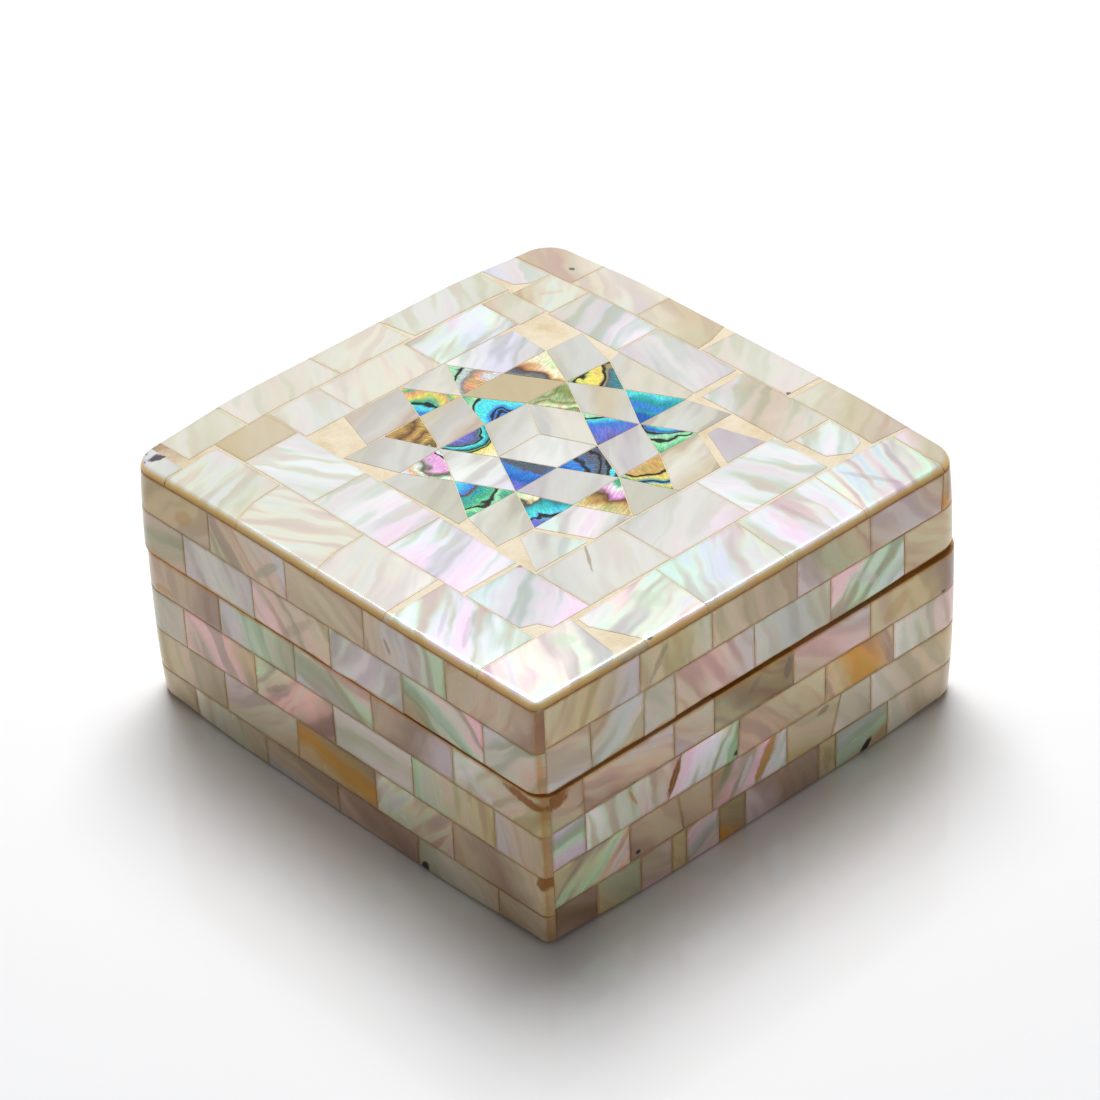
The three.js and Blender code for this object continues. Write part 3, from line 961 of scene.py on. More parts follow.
TOP_JOINT = 37.25
HALF_GAP = 0.07
FOOT = -HALF_GAP
BASE_TOP = RIM + HALF_GAP
LID_LOW = LID_FOOT - HALF_GAP
SPAN_X = HALF_X + HALF_GAP
SPAN_Y = HALF_Y - SIDE_THICKNESS
print(f"courses run {2 * SPAN_X:.2f} mm along the front and {2 * SPAN_Y:.2f} mm along the side")

# %% [markdown]
# The two sides that the photograph shows are laid joint by joint, each plate with its own
# tones. The front and the back reach round the corners, and the other two sides fit in
# between them.

# %% The front and the right side of the base
front_base = (
    lay_course(FOOT, 5.0, -SPAN_X, SPAN_X, [-29.4, -14.5, 0, 15.7, 30.9],
               "beige/beige/taupe 60, ivory/pale/taupe 20 0.6, lavender/taupe/mauve 80,"
               "rose/mauve 60, sage/pale/taupe 40 0.4, olive/taupe 60")
    + lay_course(5.0, 11.4, -SPAN_X, SPAN_X, [-22.4, -7.7, 7.9, 22.6],
                 "tan/beige/taupe 10, lavender/pale/taupe -60 0.6, tan/amber/olive 80,"
                 "pearl/pale/rose -40 1, taupe/mauve/beige 30")
    + lay_course(11.4, 17.9, -SPAN_X, SPAN_X, [-30.1, -15.5, 0.2, 15.4, 30.9],
                 "sky/pale 60 0.3, rose/pink/tan 30 0.7, mint/pink/mauve -40 0.9,"
                 "grey/pale/grey 90, mint/beige/tan 10 0.7, lavender/rose/taupe 20")
    + lay_course(17.9, BASE_TOP, -SPAN_X, SPAN_X, [-22.2, -7.1, 8.1, 23.5],
                 "rose/taupe/mauve 10 0.3, lavender/mint/sage 20 0.6, lavender/mint/pink 75 0.8,"
                 "taupe/mauve/lavender -30 0.3, pearl/rose/tan -50 0.9")
)
right_base = (
    lay_course(FOOT, 6.0, -SPAN_Y, SPAN_Y,
               [-29.9, -22.2, -16.7, -14.2, -8.3, -3.5, 10.1, 13.2, 23.2],
               "mauve/umber/mauve 60, tan/sage 50, pink/taupe/rose 70 0.8, tan 40,"
               "pink/lavender/pink 120 0.9, amber/olive 60, lavender/mauve/mauve 20 0.5,"
               "taupe/tan 30, tan/mint/sky 100 0.6, ivory/beige/rose 10")
    + lay_course(6.0, 12.1, -SPAN_Y, SPAN_Y, [-24, (-14.6, -15.6), -9.5, 4.2, (12.6, 14.4), 20],
                 "sage/mint/pink -45 1.3, mauve/taupe 40, mauve/taupe 50 0.3,"
                 "olive/pink/pearl -34 1.3, tan/beige 70, pearl/pale 40 0.3, ivory/beige/tan 30")
    + lay_course(12.1, 18.2, -SPAN_Y, SPAN_Y, [-31.4, (-17.2, -14.7), (-4.9, -4.2), 11.4, 24.1],
                 "lavender/mint/lavender 90 1, pearl/pale/pink 10 0.9, pink/blush/mint -24 1.3,"
                 "rose/taupe/beige 40 0.6, beige/amber/taupe 30 0.7, pearl/pale/pink 10 0.6")
    + lay_course(18.2, BASE_TOP, -SPAN_Y, SPAN_Y, [-31.5, -15.8, -8.8, 5.5, 19.7],
                 "sage/taupe 60, mauve/rose/lavender 70 0.6, lavender/rose/pale 60 0.4,"
                 "sage/umber/olive 60 0.7, rose/pink/lavender 60 0.4, beige/tan/mauve 20")
)
print(len(front_base) + len(right_base), "plates on the front and right of the base")

# %% The front and the right side of the lid
front_lid = (
    lay_course(LID_LOW, 30.8, -SPAN_X, SPAN_X, [-28.3, -14.2, 1.1, 15, 30.1],
               "taupe/sage/rose 100, lavender/grey/lavender 30 0.4, pink/rose/beige 40 0.7,"
               "sky/lilac/sky -30 0.5, olive/mint/pink 60 0.9, sky/pale/taupe -50 0.7")
    + lay_course(30.8, TOP_JOINT, -SPAN_X, SPAN_X, [-22.4, -7, 8.1, 23.4],
                 "taupe/tan/taupe -50, sage/rose/lavender 40 0.7, taupe/beige/taupe 60 0.3,"
                 "rose/lavender/mint 10 0.6, taupe/rose/mauve -30 0.5")
)
right_lid = (
    lay_course(LID_LOW, 31.3, -SPAN_Y, SPAN_Y, [-29.6, -20.5, -15, -1, 12.7, 26.5],
               "lavender/pale/rose 80 0.6, taupe/sky/beige -50 0.6, grey/pale 40 0.3,"
               "rose/pink/lavender 30 0.7, grey/sky/pale 20 0.3, pink/mint/sky -50 1,"
               "taupe/beige 60")
    + lay_course(31.3, TOP_JOINT, -SPAN_Y, SPAN_Y, [-21, -8.5, 6.6, 20.1, (33.6, 34.5)],
                 "beige/tan/lavender -30 0.5, beige/tan/pale 10 0.6, beige/taupe 15 0.5,"
                 "lavender/sage/taupe 30 0.5, rose/lavender/rose 40 0.4, amber/tan 60")
)
print(len(front_lid) + len(right_lid), "plates on the front and right of the lid")

# %% [markdown]
# Nobody sees the back and the left side in the photograph. They are laid by rule from the
# same sorts of shell: even plates 15 mm long, half a plate further on in every other course.

# %% The two sides that face away
SORTS = [
    "taupe/beige/taupe", "rose/taupe/pale", "pale/sage/taupe", "lavender/rose/taupe",
    "beige/tan/taupe", "taupe/mint/pale", "mauve/taupe/rose", "sky/pale/lavender",
]


def lay_by_rule(low, high, span, start, pitch=15.0, least=3.0):
    """A plain course of even plates from mixed sorts of shell."""
    joints = [start + pitch * k for k in range(math.ceil((span - least - start) / pitch))]
    looks = [
        f"{draw.choice(SORTS)} {draw.uniform(-60, 90):.0f} {draw.uniform(0.3, 0.8):.1f}"
        for _ in range(len(joints) + 1)
    ]
    return lay_course(low, high, -span, span, joints, ",".join(looks))


away = {}
for side, span in {"back": SPAN_X, "left": SPAN_Y}.items():
    away[side] = (
        lay_by_rule(FOOT, 5.8, span, -30) + lay_by_rule(5.8, 11.9, span, -22.5)
        + lay_by_rule(11.9, 18, span, -30) + lay_by_rule(18, BASE_TOP, span, -22.5),
        lay_by_rule(LID_LOW, 31, span, -30) + lay_by_rule(31, TOP_JOINT, span, -22.5),
    )
print(sum(len(plates) for pair in away.values() for plates in pair), "plates laid by rule")

# %% [markdown]
# Each side of the base and of the lid becomes one piece. It takes the place of the smooth
# sheet of the measured solids.

# %% Make the eight side pieces
SIDE_PLATES = {
    "front": (front_base, front_lid), "right": (right_base, right_lid),
    "back": away["back"], "left": away["left"],
}
for index, (side, (base_plates, lid_plates)) in enumerate(SIDE_PLATES.items()):
    for part, plates in (("base", base_plates), ("lid", lid_plates)):
        piece = lay_plates(f"{part}_{side}_shell", side, plates, seed=index + 10)
        piece.data.materials.append(front_shell if side == "front" else side_shell)
        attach(piece, "root")
        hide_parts(f"{part}_plates_{side}")

# %% [markdown]
# ## The border of the lid
# Two courses of larger plates run round the lid, over the top edges of the side plates.
# They were cut by hand: some joints lean, one corner is chipped, and in places the gap is
# wide enough that the tan resin shows as a wedge. Where an outline leaves a space, the bed
# of resin underneath fills it by itself.

# %% Outlines of the outer course
def panel(x0, x1, y0, y1):
    """A plain four-sided outline."""
    return [(x0, y0), (x1, y0), (x1, y1), (x0, y1)]


EDGE_X = HALF_X + HALF_GAP
EDGE_Y = HALF_Y + HALF_GAP
outer_front = [
    ([(-31.8, -EDGE_Y), (-16.6, -EDGE_Y), (-18.4, -34), (-19, -28.8), (-32.5, -28.8)],
     "ivory/pearl/cream 20 0.6"),
    ([(-16.6, -EDGE_Y), (-1, -EDGE_Y), (-2.3, -34), (-2.7, -28.6), (-19, -28.6), (-18.4, -34)],
     "pearl/ivory/pearl -60 0.5"),
    ([(-1, -EDGE_Y), (12.1, -EDGE_Y), (11.5, -28.6), (-2.7, -28.6), (-2.3, -34)],
     "pearl/pearl/white 30 0.3"),
    ([(12.8, -EDGE_Y), (29.3, -EDGE_Y), (29.3, -28.6), (12.6, -28.6)], "white/blush/white 40 1"),
]
outer_right = [
    ([(29.4, -EDGE_Y), (EDGE_X, -EDGE_Y), (EDGE_X, -24), (29.3, -22.6)],
     "blush/white/frost 60 0.8"),
    ([(30.2, -22.2), (32.3, -22.4), (38.6, -19.6), (EDGE_X, -19.4), (EDGE_X, -9), (29.4, -8)],
     "blush/frost/blush 20 0.8"),
    ([(29.4, -8), (EDGE_X, -9), (EDGE_X, 5.2), (29.5, 6.2)], "frost/lilac/ivory 60 0.7"),
    ([(29.5, 6.2), (EDGE_X, 5.2), (EDGE_X, 19.4), (29.6, 20.6)], "white/blush/white 85 0.8"),
    ([(29.6, 20.6), (EDGE_X, 19.4), (EDGE_X, 34.7), (30, 34.7)], "white/lilac/frost 70 1"),
]
outer_back = [
    (panel(-EDGE_X, -28, 31.5, EDGE_Y), "beige/rose/ivory 60 0.4"),
    (panel(-28, -15, 31.5, EDGE_Y), "cream/pearl/ivory 60 0.4"),
    ([(-15, 31.5), (-2.9, 31.5), (-3.2, 34.5), (-4.6, EDGE_Y), (-15, EDGE_Y)],
     "cream/beige 60 0.3"),
    ([(-2.6, 31.6), (13.7, 31.6), (13.9, EDGE_Y), (-2.2, EDGE_Y)], "cream/ivory 40 0.4"),
    ([(14.4, 31.6), (29.6, 31.6), (30.2, EDGE_Y), (14.6, EDGE_Y)], "cream/beige/rose 30 0.4"),
    ([(30.3, 34.8), (EDGE_X, 34.8), (EDGE_X, EDGE_Y), (30.3, EDGE_Y)], "blush/beige 60 0.4"),
]
outer_left = [
    ([(-EDGE_X, -EDGE_Y), (-31.9, -EDGE_Y), (-32.2, -34.9), (-EDGE_X, -34.7)],
     "lilac/pearl/grey 30 0.4"),
    (panel(-EDGE_X, -33.1, -33.2, -22.8), "ivory/cream 50 0.3"),
    ([(-EDGE_X, -22.8), (-33.1, -22.6), (-33.1, -6), (-EDGE_X, -6.6)], "ivory/cream/ivory 60 0.3"),
    ([(-EDGE_X, -6.6), (-33.1, -6), (-33.1, 6.5), (-EDGE_X, 5.9)], "cream/ivory 30 0.3"),
    ([(-EDGE_X, 6.0), (-33.1, 7.2), (-32.8, 24.4), (-EDGE_X, 24.8)], "ivory/pearl/cream 60 0.5"),
    ([(-EDGE_X, 24.9), (-33.5, 25.6), (-32, 28), (-32, 31.4), (-EDGE_X, 31.4)],
     "lilac/pearl 60 0.5"),
]
outer = outer_front + outer_right + outer_back + outer_left
print(len(outer), "plates in the outer course")

# %% Outlines of the inner course
inner_front = [
    (panel(-33.1, -26.7, -28.6, -19.2), "tan/beige 60 0.1"),
    (panel(-26.7, -13, -28.6, -19.2), "pearl/white/pearl -60 0.6"),
    (panel(-13, 1.5, -28.6, -19.2), "pearl/white/blush 0 0.5"),
    (panel(1.5, 15.9, -28.6, -19.2), "white/blush/white 20 0.9"),
    ([(16.5, -28.6), (26.5, -28.6), (27.4, -26.4), (29.3, -25.6), (29.3, -19.2), (16.5, -19.2)],
     "frost/grey/blush 40 0.8"),
]
inner_right = [
    (panel(19.4, 29.3, -19.2, -5), "grey/pearl 60 0.2"),
    (panel(19.4, 29.4, -5, 9), "grey/pearl/blush 30 0.3"),
    (panel(19.4, 29.3, 9, 23.5), "white/pearl/white -70 0.7"),
]
inner_back = [
    (panel(-31.9, -24.2, 23.9, 31.5), "beige/pearl/ivory 40 0.6"),
    (panel(-24.2, -10.6, 23.5, 31.5), "cream/grey/white 20 0.7"),
    (panel(-10.5, 4.5, 23.5, 31.5), "grey/pearl/grey 70 0.5"),
    (panel(5.6, 21.6, 23.6, 31.6), "pearl/beige/cream 30 0.6"),
    ([(21.7, 24.6), (27.4, 25), (29.4, 28.1), (28.4, 30.8), (27.6, 31.5), (21.8, 31.5)],
     "pearl/white/pearl 50 0.7"),
]
inner_left = [
    (panel(-33, -25.1, -19.2, -10.5), "ivory/pearl 60 0.3"),
    (panel(-33, -25.1, -10.5, 4.8), "pearl/ivory 60 0.3"),
    (panel(-32.8, -25.1, 4.8, 18.9), "pearl/white/lilac 20 0.9"),
    (panel(-32.5, -24.8, 18.9, 23.9), "beige/cream 40 0.4"),
]
inner = inner_front + inner_right + inner_back + inner_left
print(len(inner), "plates in the inner course")

# %% [markdown]
# The lid's plates have no bevel. They were sanded level with the resin when the box was
# finished, and only their outer edge is round, which the sanded form takes care of.

# %% Make the border pieces
BORDER = {
    "outer_front": outer_front, "outer_right": outer_right,
    "outer_back": outer_back, "outer_left": outer_left,
    "inner_front": inner_front, "inner_right": inner_right,
    "inner_back": inner_back, "inner_left": inner_left,
}
TOP_THICKNESS = HEIGHT - TOP_JOINT - HALF_GAP
for index, (course, plates) in enumerate(BORDER.items()):
    piece = lay_plates(
        f"lid_{course}_shell", "top", plates, seed=index + 30, thickness=TOP_THICKNESS, bevel=0,
    )
    piece.data.materials.append(top_shell)
    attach(piece, "root")
    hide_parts(f"top_border_{course}")

# %% [markdown]
# ## The star
# The star is drawn on a lattice of triangles, as such patterns have been for centuries: a
# hexagon of three rhombi, six triangles on its sides, six rhombi between them, and twelve
# small triangles outside. The maker cut them by eye, so the lattice points below are where
# the tips really meet, a few tenths of a millimetre off the true lattice.

# %% The lattice and its outlines
CENTRE_X, CENTRE_Y = -2.85, 2.45
COLUMN, HALF_ROW = 7.2, 3.77
SLIPS = {
    (-2, 0): (-0.3, -0.9), (-2, 2): (-0.3, -0.8), (-2, -2): (-0.6, -0.5), (-2, 4): (-0.3, -0.5),
    (-2, -4): (-0.5, 0.6), (-3, 1): (0.0, -0.9), (-3, -1): (-0.5, -1.5), (-1, 3): (0.15, -0.1),
    (-1, 1): (0.15, 0.2), (-1, -1): (-0.15, 0.4), (-1, -3): (-0.2, 0.1), (-1, 5): (0.65, -0.1),
    (-1, -5): (0.25, 0.2), (0, 2): (-0.3, 0.0), (0, 4): (-0.1, 0.2), (0, -2): (-0.4, 0.3),
    (0, -4): (-0.5, 0.1), (1, 1): (-0.2, -0.2), (1, -1): (-0.3, 0.2), (1, 3): (0.15, -0.4),
    (1, 5): (0.35, 0.5), (1, -3): (-0.15, 0.25), (1, -5): (-0.2, -0.6), (2, 0): (-0.05, 0.5),
    (2, 2): (-0.2, 0.4), (2, 4): (0.0, -0.3), (2, -2): (0.25, -0.45), (2, -4): (0.4, 0.1),
    (3, 1): (-0.15, -0.3), (3, -1): (0.35, -0.7), (0, 0): (-0.55, 0.15), (-4, 1): (0, -0.75),
    (-2, -4.6): (-0.62, 0), (-2, -5.8): (-0.55, 0),
}
FIELD_X = (-25.1, 19.3)
FIELD_Y = (-19.1, 23.5)


def tip(column, row):
    """Lattice point, kept inside the field."""
    slip_x, slip_y = SLIPS.get((column, row), (0, 0))
    x = CENTRE_X + column * COLUMN + slip_x
    y = CENTRE_Y + row * HALF_ROW + slip_y
    return (min(max(x, FIELD_X[0]), FIELD_X[1]), min(max(y, FIELD_Y[0]), FIELD_Y[1]))


def tips(*points):
    """An outline through lattice points."""
    return [tip(*point) for point in points]


print("star reaches from", tip(-3, 1), "to", tip(3, 1))

# %% [markdown]
# The rhombi are plain shell, and so are the plates that fill the field round the star. The
# notches between its points and the gaps beside them were filled with offcuts, so these are
# the least regular shapes on the box. One rhombus of the ring is tan.

# %% Plain shell of the star and its field
CENTRE_RHOMBI = [
    (tips((0, 0), (1, 1), (0, 2), (-1, 1)), "grey/ivory 60 0.3"),
    (tips((0, 0), (-1, 1), (-1, -1), (0, -2)), "pale/grey/pearl 30 0.3"),
    (tips((0, 0), (0, -2), (1, -1), (1, 1)), "pearl/white/pearl 40 0.3"),
]
RING_RHOMBI = [
    (tips((1, 1), (2, 0), (2, 2), (1, 3)), "grey/lavender/grey 50 0.4"),
    (tips((0, 2), (1, 3), (0, 4), (-1, 3)), "grey/beige/grey 40 0.3"),
    (tips((-1, 1), (-1, 3), (-2, 2), (-2, 0)), "tan 60 0.1"),
    (tips((-1, -1), (-2, 0), (-2, -2), (-1, -3)), "beige/grey/rose 20 0.4"),
    (tips((0, -2), (-1, -3), (0, -4), (1, -3)), "grey/white/lilac 10 0.8"),
    (tips((1, -1), (1, -3), (2, -2), (2, 0)), "lavender/grey 40 0.3"),
]
NOTCH_PLATES = [
    (tips((2, 2), (3, 1), (4, 1), (4, 3), (2, 4)), "beige/ivory/beige 10 0.6"),
    (tips((0, 4), (1, 5), (1, 6), (-1, 6), (-1, 5)), "grey/cream 40 0.3"),
    (tips((-2, 2), (-2, 4), (-3, 4), (-4, 3), (-4, 1), (-3, 1)), "white/lilac/grey 30 0.8"),
    (tips((-2, -2), (-3, -1), (-4, -4), (-2, -4.6)), "rose/grey/rose 20 0.4"),
    (tips((0, -4), (-1, -5), (-1, -6), (1, -5.6), (1, -5)), "grey/pale 20 0.3"),
    (tips((2, -2), (3, -1), (4, -3), (2, -4)), "frost/blush/grey 30 0.8"),
]
GAP_PLATES = [
    (tips((1, 3), (2, 4), (2, 5.6), (1, 5)), "pale/grey/pale 20 0.7"),
    (tips((-1, 3), (-1, 5), (-2, 5.6), (-2, 4)), "pale/grey 60 0.3"),
    (tips((-2, 0), (-3, 1), (-4, 1), (-3, -1)), "grey/ivory 30 0.3"),
    (tips((-1, -3), (-2, -4), (-2, -5.8), (-1, -5)), "pale/grey 40 0.3"),
    (tips((1, -3), (1, -5), (2, -5.6), (2, -4)), "pearl/pale/pearl 30 0.6"),
    (tips((2, 0), (3, -1), (4, -1), (4, 1), (3, 1)), "grey/pale 40 0.2"),
]
FIELD_CORNERS = [
    ([(12.4, 20), (19.3, 22), (19.3, 14.9), (12.4, 18)], "grey/lavender 60 0.2"),
    ([(12.3, -13), (19.1, -9.8), (19.1, -19), (12.3, -15.4)], "pearl/grey/frost 40 0.5"),
]
GROUPS = {
    "star_centre_rhombus": CENTRE_RHOMBI, "star_ring_rhombus": RING_RHOMBI,
    "field_notch_plate": NOTCH_PLATES, "field_gap_plate": GAP_PLATES,
}
print(sum(len(plates) for plates in GROUPS.values()), "plain plates round the star")


# %% Make the plain plates
def make_plain(name, node, plate, seed):
    """One plain plate of the star or its field."""
    piece = lay_plates(
        name, "top", [plate], seed, thickness=TOP_THICKNESS, inset=0.06, border=0.25, bevel=0,
    )
    piece.data.materials.append(field_shell)
    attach(piece, "root")
    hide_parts(node)


for group, plates in GROUPS.items():
    for index, plate in enumerate(plates):
        make_plain(f"{group}_{index + 1}_shell", f"{group}_{index + 1}", plate, index + 60)
for place, plate in zip(("back", "front"), FIELD_CORNERS):
    make_plain(f"field_corner_{place}_shell", f"field_corner_plate_{place}", plate, 80)

# %% [markdown]
# ## Abalone
# Abalone is darker and wilder than mother-of-pearl. Bands of teal, blue, green and gold lie
# between thin dark lines of the shell's own growth, and no two triangles match. The names
# of its tones come first.

# %% Name the abalone tones
SEA = {
    "teal": tone(10, 150, 158), "cyan": tone(84, 224, 232), "blue": tone(6, 92, 184),
    "azure": tone(48, 134, 216), "violet": tone(112, 112, 206), "ink": tone(14, 10, 14),
    "green": tone(74, 180, 134), "mint": tone(160, 226, 174), "olive": tone(128, 142, 74),
    "moss": tone(88, 102, 50), "yellow": tone(240, 218, 104), "cream": tone(244, 238, 196),
    "gold": tone(206, 166, 92), "brown": tone(104, 68, 30), "peach": tone(228, 168, 116),
    "pink": tone(240, 172, 224), "white": tone(240, 244, 236), "grey": tone(140, 134, 128),
    "sage": tone(176, 188, 140), "slate": tone(86, 92, 108), "silver": tone(204, 204, 206),
}
GREEN_OR_VIOLET = [
    (0.3, tone(150, 255, 214)), (0.5, tone(255, 255, 255)), (0.7, tone(214, 190, 255)),
]
print(len(SEA), "tones of abalone")

# %% [markdown]
# Each triangle gets a finish of its own: a ramp of tones in the order in which they cross
# it, the slant of the bands and how much they bow. A second noise leans the tones towards
# green or violet, a fine silk runs along the bands and brightens and darkens them as painted
# glints over the shell's threads, and the dark lines are drawn last.

# %% Make an abalone finish
CAST_SHARE = 0.45
LINE_SOFT, LINE_SOLID = 0.05, 0.014


def bands_over(made, outline, slant, bow, point, swirl):
    """Place of a point across the bands, from 0 to 1, and along them."""
    middle_x, middle_y, run, reach = figure_of(outline, math.radians(slant))
    x, y, _ = made.parts(point)
    x, y = x - middle_x, y - middle_y
    across = (x * run[0] + y * run[1]) * (0.5 / reach)
    along = (y * run[0] - x * run[1]) * (0.5 / reach)
    return across + along * along * (bow * 3) + 0.5 + swirl * 0.5, along


def draw_lines(made, colour, point, grain, places):
    """Thin dark lines at the given places across the bands."""
    rough = grain + (made.noise(point, 0.9, 1.0, 0.5) - 0.5) * 0.07
    for place in places:
        line = made.smooth(abs(rough - place), LINE_SOFT, LINE_SOLID)
        colour = made.mix(line, colour, SEA["ink"])
    return colour


def abalone_finish(name, outline, slant, bow, bands):
    """Bands across one triangle. bands is 'place tone, place tone, ...', and ink is a line."""
    made = Finish(name, coat_weight=0.25, coat_roughness=0.03, specular_ior_level=0.3)
    point = made.place()
    swirl = made.noise(point, 0.24, 1.5, 0.5, 0.6) - 0.5
    grain, along = bands_over(made, outline, slant, bow, point, swirl)
    words = [band.split() for band in bands.split(",")]
    stops = [(float(place), SEA[word]) for place, word in words if word != "ink"]
    colour = made.node("ValToRGB", {"stops": stops}, {0: grain + swirl * 0.1})
    cast = made.noise(point, 0.7, 2.0, 0.5)
    cast = made.node("ValToRGB", {"stops": GREEN_OR_VIOLET}, {0: cast})
    colour = made.mix(CAST_SHARE, colour, made.tint(colour, cast))
    # The silk's threads are partly the shell's own fibres and partly painted glints that brighten
    # and darken the colour.
    thread = made.node("CombineXYZ", {}, {0: grain * 8, 1: along * 30, 2: swirl * 2})
    silk = made.noise(thread, 1.4, 2.0, 0.6, 0.2)
    glint = made.smooth(silk, 0.3, 0.75, 0.84, 1.22)
    colour = made.tint(colour, made.node("CombineXYZ", {}, {0: glint, 1: glint, 2: glint}))
    lines = [float(place) for place, word in words if word == "ink"]
    made.set(
        base_color=draw_lines(made, colour, point, grain, lines),
        roughness=0.22 + (silk - 0.5) * 0.15, metallic=0.25,
        normal=made.bump(silk + swirl, 0.3, 0.0001),
    )
    return made.material


print(f"a dark line fades out at {LINE_SOFT} of the way across a triangle")

# %% [markdown]
# A triangle is written as its three lattice points, the slant, the bow and the ramp. The six
# inner ones stand on the sides of the hexagon, and the twelve outer ones on the rhombi.

# %% The eighteen triangles
INNER_TRIANGLES = [
    (((1, 1), (0, 2), (1, 3)), -37, 0.3,
     "0 ink, .07 ink, .12 white, .3 mint, .35 ink, .42 cyan, .6 azure, .8 violet, 1 slate"),
    (((0, 2), (-1, 1), (-1, 3)), -55, -0.5,
     "0 olive, .16 sage, .22 olive, .34 sage, .4 olive, .5 cream, .56 olive, .7 sage,"
     ".8 olive, 1 grey"),
    (((-1, 1), (-1, -1), (-2, 0)), 0, -0.6,
     "0 green, .22 mint, .28 ink, .36 cyan, .7 cyan, .84 azure, .9 ink, 1 ink"),
    (((-1, -1), (0, -2), (-1, -3)), 0, 0.5,
     "0 violet, .2 slate, .28 ink, .34 cyan, .45 teal, .5 ink, .54 green, .6 ink,"
     ".68 yellow, 1 cream"),
    (((0, -2), (1, -1), (1, -3)), -68, 0.3,
     "0 green, .22 teal, .3 ink, .38 slate, .5 slate, .56 azure, .75 blue, 1 violet"),
    (((1, -1), (1, 1), (2, 0)), 48, 0.2,
     "0 blue, .2 azure, .27 ink, .38 slate, .46 ink, .55 slate, .62 ink, .7 cyan,"
     ".78 ink, .86 azure, 1 ink"),
]
OUTER_TRIANGLES = [
    (((2, 2), (2, 0), (3, 1)), -15, 0.2,
     "0 peach, .25 gold, .33 ink, .4 yellow, .5 teal, .56 ink, .62 azure, .68 yellow,"
     ".86 green, .9 ink, 1 mint"),
    (((2, 2), (1, 3), (2, 4)), -60, 0.8,
     "0 ink, .1 violet, .2 ink, .3 cyan, .5 blue, .58 ink, .68 mint, .76 ink, .86 mint, 1 green"),
    (((0, 4), (1, 3), (1, 5)), -55, 0.1,
     "0 moss, .2 green, .35 cyan, .5 teal, .6 azure, .75 teal, .85 blue, 1 blue"),
    (((0, 4), (-1, 3), (-1, 5)), 35, 0.1,
     "0 mint, .14 green, .2 ink, .26 yellow, .4 yellow, .46 ink, .56 slate, .7 teal,"
     ".85 cyan, 1 white"),
    (((-2, 2), (-1, 3), (-2, 4)), -82, -0.3,
     "0 cream, .34 cream, .42 peach, .5 brown, .58 slate, .7 grey, .76 ink, .84 silver, 1 white"),
    (((-2, 2), (-2, 0), (-3, 1)), 15, -0.3,
     "0 white, .3 mint, .36 ink, .5 silver, .62 grey, .75 peach, .85 silver, 1 white"),
    (((-2, -2), (-2, 0), (-3, -1)), 130, 0.9,
     "0 azure, .3 cyan, .37 ink, .44 green, .58 yellow, .72 peach, .84 green, 1 yellow"),
    (((-2, -2), (-1, -3), (-2, -4)), 25, 0.3,
     "0 gold, .25 brown, .4 gold, .52 brown, .62 gold, .75 brown, .84 cream, .9 azure, 1 white"),
    (((0, -4), (-1, -3), (-1, -5)), -70, 0.6,
     "0 azure, .12 white, .2 ink, .28 pink, .52 pink, .6 moss, .68 white, .85 peach, 1 white"),
    (((0, -4), (1, -3), (1, -5)), 5, 0.4,
     "0 cyan, .34 azure, .42 brown, .5 teal, .75 green, .83 ink, .9 mint, 1 green"),
    (((2, -2), (1, -3), (2, -4)), -25, -0.3,
     "0 mint, .3 cream, .38 brown, .45 teal, .66 cyan, .74 ink, .82 violet, 1 violet"),
    (((2, -2), (2, 0), (3, -1)), -65, 0.2,
     "0 moss, .16 green, .24 white, .38 pink, .46 brown, .6 gold, .8 cream, 1 gold"),
]
print(len(INNER_TRIANGLES) + len(OUTER_TRIANGLES), "triangles")

# %% Make the triangles
for group, triangles in (("inner", INNER_TRIANGLES), ("outer", OUTER_TRIANGLES)):
    for index, (corners, slant, bow, bands) in enumerate(triangles):
        node = f"star_{group}_triangle_{index + 1}"
        outline = tips(*corners)
        piece = lay_plates(
            f"{node}_abalone", "top", [(outline, "grey")], 90, thickness=TOP_THICKNESS,
            inset=0.06, border=0, bevel=0,
        )
        piece.data.materials.append(abalone_finish(f"{node}_finish", outline, slant, bow, bands))
        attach(piece, "root")
        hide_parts(node)

# %% [markdown]
# ## The bed of resin
# Between the plates lies tan resin, polished almost flush with them. One thin bed follows
# each face a few hundredths of a millimetre below the plates. It shows as a hairline in the
# joints and fills every wedge and chipped corner.

# %% Pour a bed
BED_DEPTH, BED_THICKNESS = 0.04, 1.2


def pour_bed(name, beds, node):
    """Thin slabs under the plates of several faces, joined in one piece."""
    whole = bmesh.new()
    for face, outline in beds:
        bm, _ = slab_mesh(
            face, [outline], BED_DEPTH, BED_THICKNESS, inset=0, border=0, bevel=0,
        )
        for vert in bm.verts:
            vert.co = settle(*FACES[face](vert.co.x, vert.co.y, -vert.co.z))
        bmesh.ops.recalc_face_normals(bm, faces=bm.faces[:])
        spare = bpy.data.meshes.new("spare")
        bm.to_mesh(spare)
        bm.free()
        whole.from_mesh(spare)
        bpy.data.meshes.remove(spare)
    piece = finish_mesh(whole, name)
    piece.data.materials.append(joint_resin)
    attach(piece, "root")
    if node:
        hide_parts(node)
    print(f"{name}: {len(piece.data.polygons)} faces")


def side_beds(low, high):
    """The beds of the four sides. The front and the back reach round the corners."""
    reach_x, reach_y = HALF_X - BED_DEPTH, HALF_Y - 1.3
    reaches = {"front": reach_x, "back": reach_x, "right": reach_y, "left": reach_y}
    return [(face, panel(-reach, reach, low, high)) for face, reach in reaches.items()]


print(f"resin lies {BED_DEPTH} mm below the plates")

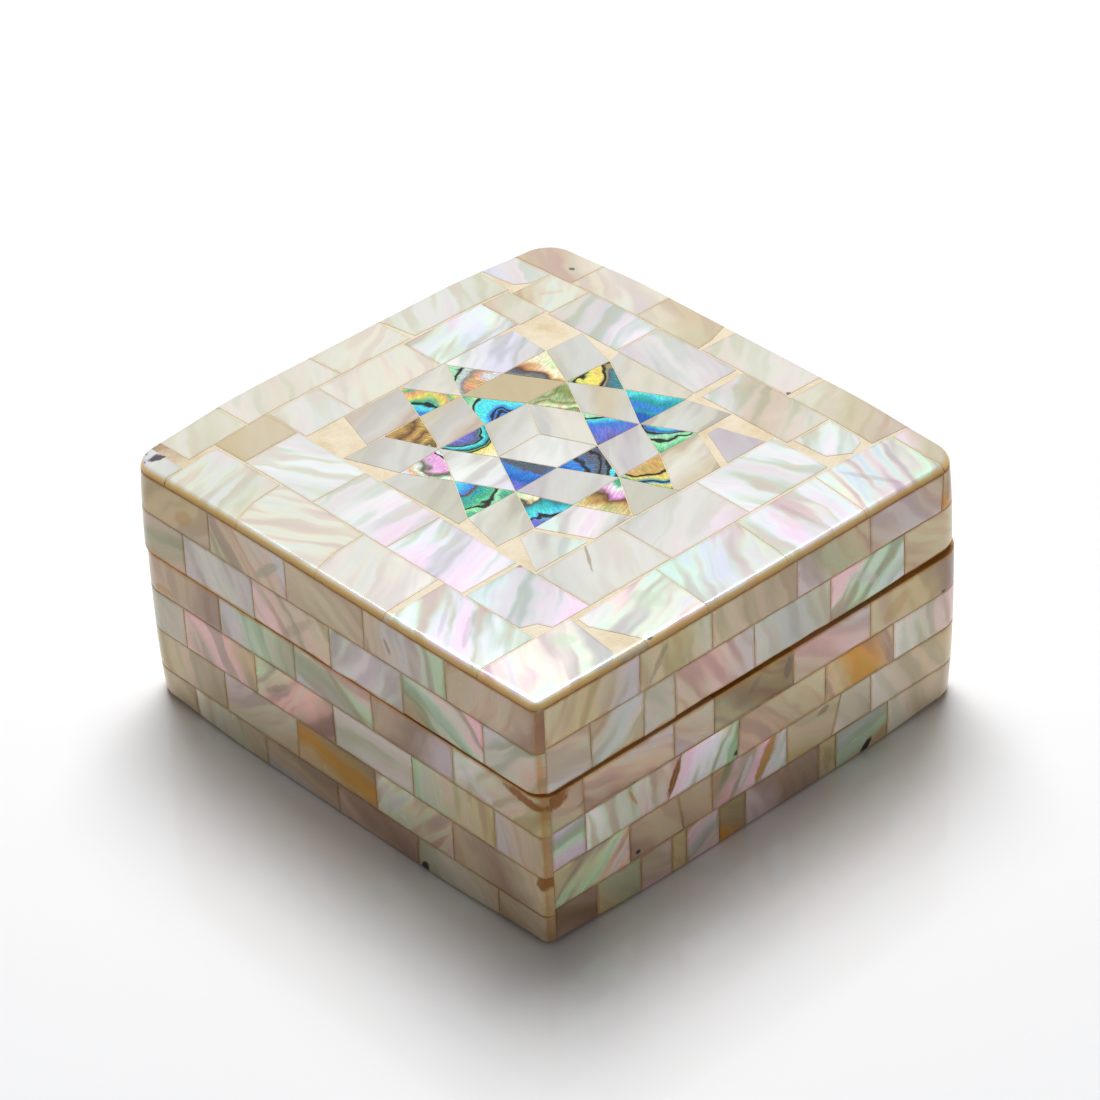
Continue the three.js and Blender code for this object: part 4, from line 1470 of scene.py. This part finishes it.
# %% Pour the beds of the base and the lid
top_x, top_y = HALF_X - BED_DEPTH, HALF_Y - BED_DEPTH
lid_beds = side_beds(LID_FOOT + BED_DEPTH, HEIGHT - BED_THICKNESS)
lid_beds.append(("top", panel(-top_x, top_x, -top_y, top_y)))
pour_bed("base_resin", side_beds(BED_DEPTH, RIM - BED_DEPTH), None)
pour_bed("lid_resin", lid_beds, "field_resin_fill")

# %% [markdown]
# ## The carcasses
# The two wooden carcasses keep their measured solids, because their shape is right as it
# is. They only need the look of planed wood.

# %% Finish the carcasses
for node in ("base_carcass", "lid_carcass"):
    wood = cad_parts[node]
    wood.data.materials.clear()
    wood.data.materials.append(carcass_wood)
    print(node, "finished in wood")

# %% [markdown]
# ## The floor
# The box stands on a glossy white sheet. Its gloss adds a faint mirror image to the shadow.
# The sheet lies a hair below the box, so that the two never share a surface.

# %% Lay the floor
FLOOR_HALF, FLOOR_GAP = 6, 0.00002


def floor_finish():
    """White gloss with a slight haze."""
    made = Finish("white_sheet", specular_ior_level=1.0)
    haze = made.noise(made.place(), 0.02, 2.0) - 0.5
    made.set(base_color=(0.955, 0.96, 0.975, 1), roughness=0.07 + haze * 0.02)
    return made.material


bm = bmesh.new()
bmesh.ops.create_grid(bm, x_segments=1, y_segments=1, size=FLOOR_HALF)
bmesh.ops.translate(bm, verts=bm.verts[:], vec=(0, 0, -FLOOR_GAP))
floor = finish_mesh(bm, "floor")
floor.data.materials.append(floor_finish())
print(f"floor {2 * FLOOR_HALF} m wide")

# %% [markdown]
# ## The light
# A broad light hangs above and behind the box, so the two near sides are in soft shade and
# a soft shadow lies in front of them. The room round it is white to the eye, but it gives
# the surfaces less light than that, as a studio does whose walls are far away.

# %% Hang the light
def hang_light(name, azimuth, elevation, distance, size, power):
    """A square lamp that faces the box."""
    lamp = bpy.data.lights.new(name, "AREA")
    lamp.size = size
    lamp.energy = power
    holder = bpy.data.objects.new(name, lamp)
    direction = towards(azimuth, elevation)
    holder.location = direction * distance
    holder.rotation_euler = direction.to_track_quat("Z", "Y").to_euler()
    bpy.context.scene.collection.objects.link(holder)
    print(f"{name}: {power} W, {distance} m away")


hang_light("overhead", azimuth=228, elevation=64, distance=0.9, size=0.5, power=9.2)

# %% Dim the room
SEEN, ON_MATT, ON_GLOSS = 1.0, 0.15, 0.55

world = bpy.data.worlds.new("studio")
bpy.context.scene.world = world
world.use_nodes = True
nodes, links = world.node_tree.nodes, world.node_tree.links
room = nodes["Background"]
room.inputs["Color"].default_value = (1, 1, 1, 1)
path = nodes.new("ShaderNodeLightPath")
for_gloss, for_all = nodes.new("ShaderNodeMapRange"), nodes.new("ShaderNodeMapRange")
for dim, ray, strength in (
    (for_gloss, "Is Diffuse Ray", ON_MATT), (for_all, "Is Glossy Ray", ON_GLOSS),
):
    links.new(path.outputs[ray], dim.inputs["Value"])
    dim.inputs["To Max"].default_value = strength
for_gloss.inputs["To Min"].default_value = SEEN
links.new(for_gloss.outputs["Result"], for_all.inputs["To Min"])
links.new(for_all.outputs["Result"], room.inputs["Strength"])
bpy.context.scene.view_settings.view_transform = "Standard"
bpy.context.scene.view_settings.look = "None"
print(f"room at {ON_MATT} on matt surfaces and {ON_GLOSS} in reflections")
